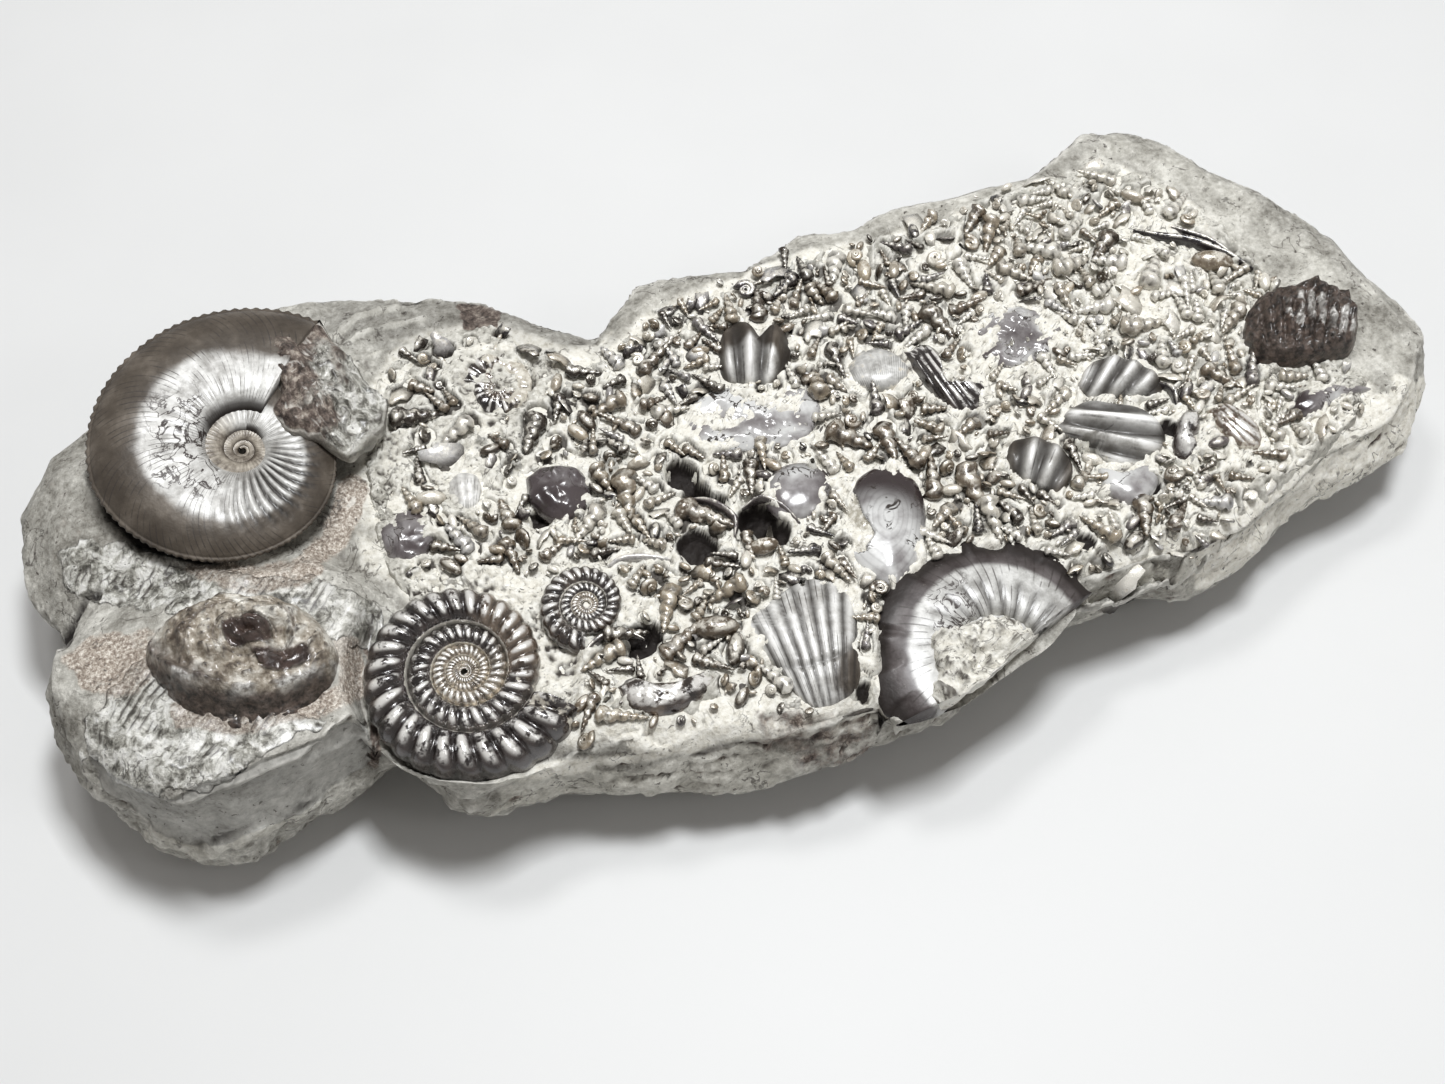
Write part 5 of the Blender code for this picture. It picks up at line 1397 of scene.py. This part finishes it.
def spireShape(whorls=5, slim=0.46, around=8, perWhorl=4):
    # a turreted snail along X, one long, with its whorls shrinking to the tip
    shrink = 0.76
    turn = np.linspace(0, whorls, whorls * perWhorl + 1)[:, None]
    angle = np.linspace(0, 2 * math.pi, around, endpoint=False)[None, :]
    size = shrink ** turn
    along = (1 - size) / (1 - shrink ** whorls)
    bulge = np.abs(np.sin(math.pi * (turn + angle / (2 * math.pi)))) ** 0.7
    ends = np.sqrt(smoothStep(-0.03, 0.08, along)) * np.sqrt(1 - 0.9 * smoothStep(0.9, 1.0, along))
    radius = slim / 2 * (size - 0.4 * shrink ** whorls) * (0.58 + 0.52 * bulge) * ends
    points = np.stack([along - 0.5 + 0 * angle, radius * np.cos(angle), radius * np.sin(angle)], axis=-1)
    body, faces = cappedTube(points, len(turn), around)
    # the last value is painted shade in the seams between the whorls
    return body, faces, np.append((1 - bulge).ravel() ** 1.2, [0, 0])


def snailShape(spire=0.55, turns=2.1, inner=0.05, growth=2.3):
    shape = {"radius": 1, "growth": growth, "inner": inner, "turns": turns, "mouth": 0, "squash": 0.8, "spire": spire,
             "section": roundWhorl, "around": 6, "steps": 9}
    points, faces, values = coil(shape)
    ring = len(sectionRing(roundWhorl, 6))
    seam = np.zeros(len(points))
    # painted shade along the seams
    seam[:-2].reshape(-1, ring)[:, [0, 5, 6, -1]] = 0.8
    return points, faces, seam


def beanShape(around=10, rows=7):
    angle = np.linspace(0, 2 * math.pi, around, endpoint=False)[None, :]
    along = np.linspace(0.12, math.pi - 0.12, rows)[:, None]
    points = np.stack([-np.cos(along) + 0 * angle, 0.55 * np.sin(along) * np.cos(angle),
                       0.5 * np.sin(along) * np.sin(angle)], axis=-1)
    body, faces = cappedTube(points, rows, around)
    return body, faces, np.zeros(len(body))


def flakeShape(around=12):
    # a thin curved chip
    angle = np.linspace(0, 2 * math.pi, around, endpoint=False)[None, :]
    out = np.array([0.4, 1.0, 1.0, 0.4])[:, None]
    thick = np.array([-0.05, -0.04, 0.05, 0.06])[:, None]
    wobble = 1 + 0.22 * np.sin(3 * angle + 1) + 0.15 * np.sin(5 * angle)
    x, y = out * wobble * np.cos(angle), 0.6 * out * wobble * np.sin(angle)
    z = thick - 0.35 * (x ** 2 * 0.3 + y ** 2)
    body, faces = cappedTube(np.stack([x, y, z], axis=-1), 4, around)
    return body, faces, np.zeros(len(body))


class Heap:
    # many small shells gathered into one mesh
    def __init__(self):
        self.points, self.faces, self.values, self.count = [], {3: [], 4: []}, [], 0

    def add(self, points, faces, tone, groove_and_shade, dust):
        # tone and dust hold for the whole shell
        self.points.append(points)
        for group in faces:
            self.faces[group.shape[1]].append(group + self.count)
        self.values.append(np.column_stack([np.full(len(points), tone), groove_and_shade, np.full(len(points), dust)]))
        self.count += len(points)

    def build(self, name, finish, slotName):
        faces = [np.vstack(group) for group in self.faces.values() if group]
        tone, groove_and_shade, dust = np.vstack(self.values).T
        say(f"{name} has {self.count} points")
        return buildPiece(name, np.vstack(self.points), faces, finishes[finish], (),
                          {"tone": tone, "groove_and_shade": groove_and_shade, "dust": dust})


class Crowding:
    # keeps the small shells apart, by circles sorted into squares
    def __init__(self, width):
        self.width, self.squares = width, {}

    def add(self, spots):
        for x, y, wide in spots:
            self.squares.setdefault((int(x // self.width), int(y // self.width)), []).append((x, y, wide))

    def blocked(self, spots, share):
        for x, y, wide in spots:
            i, j = int(x // self.width), int(y // self.width)
            for square in ((i + di, j + dj) for di in (-1, 0, 1) for dj in (-1, 0, 1)):
                for a, b, other in self.squares.get(square, ()):
                    if math.hypot(x - a, y - b) < share * (wide + other):
                        return True
        return False


def takenPlaces():
    # circles that the tiny shells keep clear of
    taken = []
    for shell in shells.values():
        x, y, _ = shell["at"]
        taken.append((x, y, shell["radius"] * crowd["clear"]))
    for spec in domes.values():
        line = curveThrough([*spec["outline"], spec["outline"][0]], 13)[:-1]
        rim = np.array([groundAt(p)[:2] for p in line])
        middle = rim.mean(0)
        taken += [(*(middle + (spot - middle) * 0.72), np.linalg.norm(spot - middle) * 0.25) for spot in rim]
        taken.append((*middle, np.linalg.norm(rim - middle, axis=1).min() * 0.8))
    for spec in edges.values():
        taken += [(*groundAt(p)[:2], 1.0) for p in curveThrough(spec["path"], 8)]
    return taken + [(*groundAt(pixel)[:2], radius) for pixel, radius, deep in ground["hollows"]]


# how often each kind is bronze, cream or dark
kinds = {
    "spires": (5, 3, 1),
    "snails": (5, 3, 1),
    "beans": (4, 3, 3),
    "flakes": (2, 3, 3),
    "crumbs": (1, 8, 0.5),
}
spireKinds = ((5, 0.52), (4, 0.66), (6, 0.42))


# the small shells that the photograph shows clearly: kind, the pixels of both ends, colour and tone
namedShells = (
    ("spires", (922, 469), (894, 438), 0, 0.5), ("spires", (866, 462), (881, 443), 0, 0.7),
    ("spires", (750, 462), (752, 498), 0, 0.3), ("spires", (602, 508), (574, 545), 1, 0.6),
    ("beans", (690, 630), (740, 628), 0, 0.35), ("beans", (733, 668), (738, 634), 0, 0.2),
    ("beans", (745, 550), (779, 546), 0, 0.5), ("spires", (676, 508), (738, 528), 0, 0.45),
    ("snails", (1160, 472), (1187, 480), 0, 0.4), ("beans", (1190, 262), (1234, 264), 0, 0.6),
    ("spires", (603, 640), (650, 632), 0, 0.2), ("beans", (617, 660), (634, 664), 1, 0.9),
    ("spires", (1120, 330), (1170, 322), 1, 0.3), ("spires", (935, 500), (930, 455), 0, 0.5),
    ("snails", (840, 420), (862, 424), 0, 0.5), ("snails", (812, 445), (830, 450), 0, 0.6),
    ("spires", (985, 500), (1002, 545), 1, 0.6), ("spires", (960, 470), (990, 520), 0, 0.6),
    ("snails", (600, 455), (622, 458), 0, 0.25), ("snails", (905, 395), (925, 400), 0, 0.4),
    ("spires", (430, 545), (462, 553), 0, 0.4), ("snails", (480, 515), (500, 520), 0, 0.35),
    ("beans", (440, 560), (462, 575), 0, 0.3), ("spires", (505, 540), (520, 575), 0, 0.5),
    ("snails", (545, 440), (566, 446), 0, 0.3), ("snails", (580, 398), (600, 402), 0, 0.5),
    ("spires", (640, 410), (668, 396), 0, 0.5), ("spires", (686, 350), (702, 333), 0, 0.6),
)


def spotsOf(kind, x, y, size, heading, slim):
    # circles that cover a shell seen from above
    if kind != "spires":
        return [(x, y, size * {"snails": 0.85, "beans": 0.6, "flakes": 0.6, "crumbs": 0.4}[kind])]
    ahead, side = math.cos(heading), math.sin(heading)
    return [(x + ahead * size * s, y + side * size * s, size * slim / 2 * (0.95 - 0.85 * (s + 0.5)))
            for s in (-0.40, -0.25, -0.08, 0.12, 0.34)]


def crowdPlaces(rng):
    # seeded places inside the crowd, with the longer shells first
    line = [tuple(groundAt(p)[:2]) for p in ground["crowdFront"] + ground["crowdBack"][::-1]]
    low, high = np.array(line).min(0), np.array(line).max(0)
    sparse = [tuple(groundAt(p)[:2]) for p in crowd["sparse"]]
    taken = takenPlaces()
    crowding = Crowding(6.0)
    places = []
    for kind, start, end, heap, tone in namedShells:
        a, b = groundAt(start), groundAt(end)
        size = (b - a).length * {"spires": 1.0, "beans": 0.5, "snails": 0.55}[kind]
        x, y = (a + b)[:2]
        heading = math.atan2(b.y - a.y, b.x - a.x)
        spots = spotsOf(kind, x / 2, y / 2, size, heading, spireKinds[0][1])
        crowding.add(spots)
        places.append((x / 2, y / 2, size, heading, kind, 0, spots, heap, tone))
    for kind in kinds:
        wanted, small, large = crowd[kind]
        made = 0
        for _ in range(wanted * 40):
            if made == wanted:
                break
            x, y = rng.uniform(low[0], high[0]), rng.uniform(low[1], high[1])
            # those at the left are larger
            size = (small + (large - small) * rng.random() ** 1.6) * (1.0 - 0.18 * smoothStep(-30, 90, x))
            heading = rng.uniform(0, 2 * math.pi)
            shape = rng.randrange(3)
            spots = spotsOf(kind, x, y, size, heading, spireKinds[shape][1])
            spot = np.array([x]), np.array([y])
            if not insidePolygon(*spot, line)[0]:
                continue
            # they thin out towards the edges, and none hangs over
            inward = lineDistance(*spot, line + line[:1])[0]
            if inward < size * 0.4 or rng.random() > 0.12 + 0.88 * smoothStep(1.0, 7.0, inward):
                continue
            if insidePolygon(*spot, sparse)[0] and rng.random() > 0.3:
                continue
            # they lie in drifts, with banks of bare stone between
            drift = float(lumpsAt(np.array([[x, y, 0.0]]), 13.0, 47, 2)[0])
            if rng.random() > 0.25 + 0.75 * smoothStep(-0.45, 0.15, drift):
                continue
            if any((x - a) ** 2 + (y - b) ** 2 < (r + spots[0][2]) ** 2 for a, b, r in taken):
                continue
            if crowding.blocked(spots, crowd["overlap"]):
                continue
            crowding.add(spots)
            # more of them are pale towards the right
            right = float(smoothStep(20, 90, x))
            bronze, cream, dark = kinds[kind]
            heap = rng.choices((0, 1, 2), (bronze * (1 - 0.65 * right), cream * (1 + 1.4 * right), dark * (1 - 0.5 * right)))[0]
            places.append((x, y, size, heading, kind, shape, spots, heap, rng.random() ** (1 - 0.45 * right)))
            made += 1
        say(f"{made} {kind}")
    return places


def makeCrowd():
    rng = random.Random(crowd["seed"])
    places = crowdPlaces(rng)
    shapes = {
        "spires": [spireShape(*spireKind) for spireKind in spireKinds],
        "snails": [snailShape(), snailShape(0.1, 2.6, 0.35, 1.9), snailShape(0.9, 2.4, 0.05, 2.0)],
        "beans": [beanShape()],
        "flakes": [flakeShape()],
        "crumbs": [beanShape(6, 4)],
    }
    heaps = [Heap(), Heap(), Heap()]
    level = mapAt("height", np.array([p[0] for p in places]), np.array([p[1] for p in places]))
    for (x, y, size, heading, kind, shape, spots, heap, tone), z in zip(places, level):
        points, faces, groove_and_shade = shapes[kind][shape % len(shapes[kind])]
        pitch, roll = {"spires": (rng.gauss(0, 0.14), rng.uniform(0, 6)),
                       "snails": (rng.uniform(-1.1, 1.1), rng.uniform(-1.1, 1.1)),
                       "beans": (rng.uniform(-0.3, 0.3), rng.uniform(0, 6)),
                       "flakes": (rng.uniform(-0.9, 0.9), rng.uniform(-0.9, 0.9)),
                       "crumbs": (rng.uniform(-0.5, 0.5), rng.uniform(0, 6))}[kind]
        turn = Matrix.Rotation(heading, 3, "Z") @ Matrix.Rotation(pitch, 3, "Y") @ Matrix.Rotation(roll, 3, "X")
        body = points * size @ np.array(turn).T
        # painted shade: the lower part of each shell is darkened, as in the shade of its groove, less so towards the
        # right
        low = (1 - smoothStep(-0.35, 0.25, body[:, 2] / spots[0][2])) * (1 - 0.6 * smoothStep(10, 80, x))
        body = body + np.array([x, y, z + crowd["lift"]])
        heaps[heap].add(body, faces, tone, np.maximum(groove_and_shade, low), rng.choice((0.0, 0.0, 0.2, 0.42)))
    for heap, name, finish, slotName in zip(heaps, ("bronze_shells", "pale_shells", "dark_shells"),
                                            ("bronzeSnail", "paleSnail", "darkFlake"),
                                            ("bronze_snail", "pale_snail", "grey_shell")):
        heap.build(name, finish, slotName)
    makeSheet(places)


def evenLine(pixels, count):
    # a curve over the ground through some pixels, in equal steps
    curve = curveThrough([groundAt(p)[:2] for p in pixels], 600)
    far = np.append(0, np.cumsum(np.linalg.norm(np.diff(curve, axis=0), axis=1)))
    at = np.linspace(0, far[-1], count)
    return np.stack([np.interp(at, far, curve[:, k]) for k in (0, 1)], axis=1)


def makeSheet(places):
    # rows run from the front line to the back line
    count = 2 * round(82 / crowd["step"])
    front, back = evenLine(ground["crowdFront"], count), evenLine(ground["crowdBack"], count)
    rows = round(62 / crowd["step"])
    share = np.linspace(0, 1, rows)[:, None, None]
    flat = front * (1 - share) + back * share
    x, y = flat[..., 0].ravel(), flat[..., 1].ravel()
    solid = np.column_stack([x, y, np.zeros(len(x))])
    # small banks with sharp edges
    near, nextNear = cellsAt(solid + 0.8 * lumpsAt(solid, 1.5, 23, 2)[:, None], 2.0, 25)
    close = cellsAt(solid + 0.3 * lumpsAt(solid, 0.9, 37)[:, None], 1.05, 39)[0]
    lift = crowd["lift"] + 0.85 * lumpsAt(solid, 4.2, 21, 4, 0.6) + 0.6 * (0.42 - near) + 0.4 * (0.4 - close)
    lift -= 0.35 * (1 - smoothStep(0.0, 0.12, nextNear - near)) * smoothStep(-0.1, 0.3, lumpsAt(solid, 5, 27))
    width, depth = crowd["moat"]
    nearest = np.full(len(x), 9.0)
    order = np.argsort(x)
    sortedX = x[order]
    for px, py, size, _, kind, _, spots, _, _ in places:
        if kind == "crumbs":
            continue
        reach = size + 1.5
        a, b = np.searchsorted(sortedX, (px - reach, px + reach))
        part = order[a:b]
        part = part[np.abs(y[part] - py) < reach]
        for sx, sy, wide in spots:
            nearest[part] = np.minimum(nearest[part], np.hypot(x[part] - sx, y[part] - sy) - wide)
    moat = 1 - smoothStep(0.0, width, nearest)
    lift -= depth * moat * (0.75 + 0.5 * lumpsAt(solid, 2.5, 29))
    u = np.minimum(np.arange(count), np.arange(count)[::-1])[None, :]
    v = np.minimum(np.arange(rows), np.arange(rows)[::-1])[:, None]
    edge = (np.minimum(u, v) * crowd["step"]).ravel()
    lift -= crowd["dip"] * (1 - smoothStep(0, 3.5, edge + 1.2 * lumpsAt(solid, 2.5, 41, 3)))
    # painted shade in the dark hollows
    shade_and_dark = np.zeros(len(x))
    for pixel, radius, deep in ground["hollows"]:
        middle = groundAt(pixel)
        far = np.hypot(x - middle.x, y - middle.y) + 0.5 * lumpsAt(solid, 2.6, 9)
        dip = 1 - smoothStep(radius * 0.75, radius * 1.2, far)
        lift -= dip * deep
        shade_and_dark = np.maximum(shade_and_dark, smoothStep(0.02, 0.25, dip))
    # painted shade in the dents and in the groove round each shell, less towards the right
    soft = blurred(lift.reshape(rows, count), 2.4).ravel()
    shade_and_dark_rim = np.maximum(0.95 * smoothStep(0.05, 0.60, soft - lift), 0.9 * smoothStep(0.2, 0.75, moat))
    shade_and_dark_rim *= 1 - 0.62 * smoothStep(10, 80, x)
    points = np.column_stack([x, y, mapAt("height", x, y) + lift])
    pu, pv = toPixels(points)
    paleEnds = np.zeros(len(x))
    for key in ("pale right end", "pale back margin", "pale plateau", "sugary bench"):
        paleEnds = np.maximum(paleEnds, insidePolygon(pu, pv, rockMarks[key]["inside"]))
    inward = smoothStep(1.0, 9.0, edge + 3 * lumpsAt(solid, 4, 43, 2))
    values = {"cream": inward * (1 - 0.5 * paleEnds), "pale": np.maximum(0.8 * paleEnds, 1 - inward),
              "shade_and_dark": shade_and_dark, "shade_and_dark_rim": shade_and_dark_rim}
    half = count // 2
    for name, columns in (("crowd_stone_left", slice(0, half + 1)), ("crowd_stone_right", slice(half, count))):
        part = points.reshape(rows, count, 3)[:, columns]
        wide = part.shape[1]
        part = part.reshape(-1, 3)
        loop = np.concatenate([np.arange(wide), (np.arange(1, rows) * wide + wide - 1),
                               np.arange(rows * wide - 2, (rows - 1) * wide - 1, -1), np.arange(rows - 2, 0, -1) * wide])
        skirt = np.arange(len(part), len(part) + len(loop))
        after = np.roll(np.arange(len(loop)), -1)
        walls = np.stack([loop, loop[after], skirt[after], skirt], axis=1)[:, ::-1]
        # the underside goes down to one deep point, so that it never shows in the hollows
        faces = [gridFaces(rows, wide, closed=False), walls, fanFaces(skirt, len(part) + len(loop), flip=True)]
        kept = {key: np.append(value.reshape(rows, count)[:, columns], np.zeros(len(loop) + 1))
                for key, value in values.items()}
        below = part[loop] - np.array([0, 0, 1.5])
        deepest = [*below[:, :2].mean(0), crowd["deepest"]]
        buildPiece(name, np.vstack([part, below, deepest]), faces, finishes["rock"], (), kept)
        say(f"{name} has {len(part)} points")


# floor, light and background

studio = {
    "contrast": "Medium High Contrast", "exposure": 0.0,
    "worldTop": 0.22, "worldSide": 0.36, "worldColour": (1.0, 0.965, 0.93, 1),
    # place in mm, size in mm, power in watts, colour
    "lights": {
        "broad light above": ((100, 30, 760), (170, 130), 3.9, (0.98, 1.0, 1.02)),
        "window at the back": ((-70, 240, 730), (140, 100), 0.95, (1, 1, 1)),
        "window at the front right": ((330, -400, 560), (150, 150), 0.28, (1, 1, 1)),
    },
}


def makeFloor():
    mesh = bpy.data.meshes.new("floor")
    cage = bmesh.new()
    bmesh.ops.create_grid(cage, x_segments=4, y_segments=4, size=1.5)
    cage.to_mesh(mesh)
    cage.free()
    floor = bpy.data.objects.new("floor", mesh)
    bpy.context.scene.collection.objects.link(floor)
    f = Finish("pale table", Metallic=0.0)
    tone = f.noise(60, 3)
    mesh.materials.append(f.finish(f.ramp(tone, (0.2, (0.67, 0.673, 0.67)), (0.8, (0.70, 0.703, 0.70))),
                                   f.span(tone, 0, 1, 0.5, 0.6)))


def makeLight():
    view = bpy.context.scene.view_settings
    view.view_transform, view.look, view.exposure = "Standard", studio["contrast"], studio["exposure"]
    world = bpy.data.worlds.new("studio")
    bpy.context.scene.world = world
    world.use_nodes = True
    tree = world.node_tree
    background = tree.nodes["Background"]
    coords = tree.nodes.new("ShaderNodeTexCoord")
    split = tree.nodes.new("ShaderNodeSeparateXYZ")
    span = tree.nodes.new("ShaderNodeMapRange")
    tree.links.new(coords.outputs["Generated"], split.inputs[0])
    tree.links.new(split.outputs["Z"], span.inputs["Value"])
    span.inputs["From Min"].default_value = 0.0
    span.inputs["From Max"].default_value = 0.9
    span.inputs["To Min"].default_value = studio["worldSide"]
    span.inputs["To Max"].default_value = studio["worldTop"]
    tree.links.new(span.outputs["Result"], background.inputs["Strength"])
    background.inputs["Color"].default_value = studio["worldColour"]
    for name, (place, size, power, colour) in studio["lights"].items():
        lamp = bpy.data.lights.new(name, "AREA")
        lamp.shape = "RECTANGLE"
        lamp.size, lamp.size_y = size[0] * mm, size[1] * mm
        lamp.energy, lamp.color = power, colour
        holder = bpy.data.objects.new(name, lamp)
        bpy.context.scene.collection.objects.link(holder)
        holder.location = Vector(place) * mm
        holder.rotation_mode = "QUATERNION"
        holder.rotation_quaternion = (-Vector(place)).to_track_quat("-Z", "Y")


makeCamera()
makeGround()
say("the ground map is made")
makeRock()
makeShells()
makeDomes()
makeEdges()
makeLumpsOfRock()
makeCrowd()
makeFloor()
makeLight()

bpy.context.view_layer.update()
say("done")
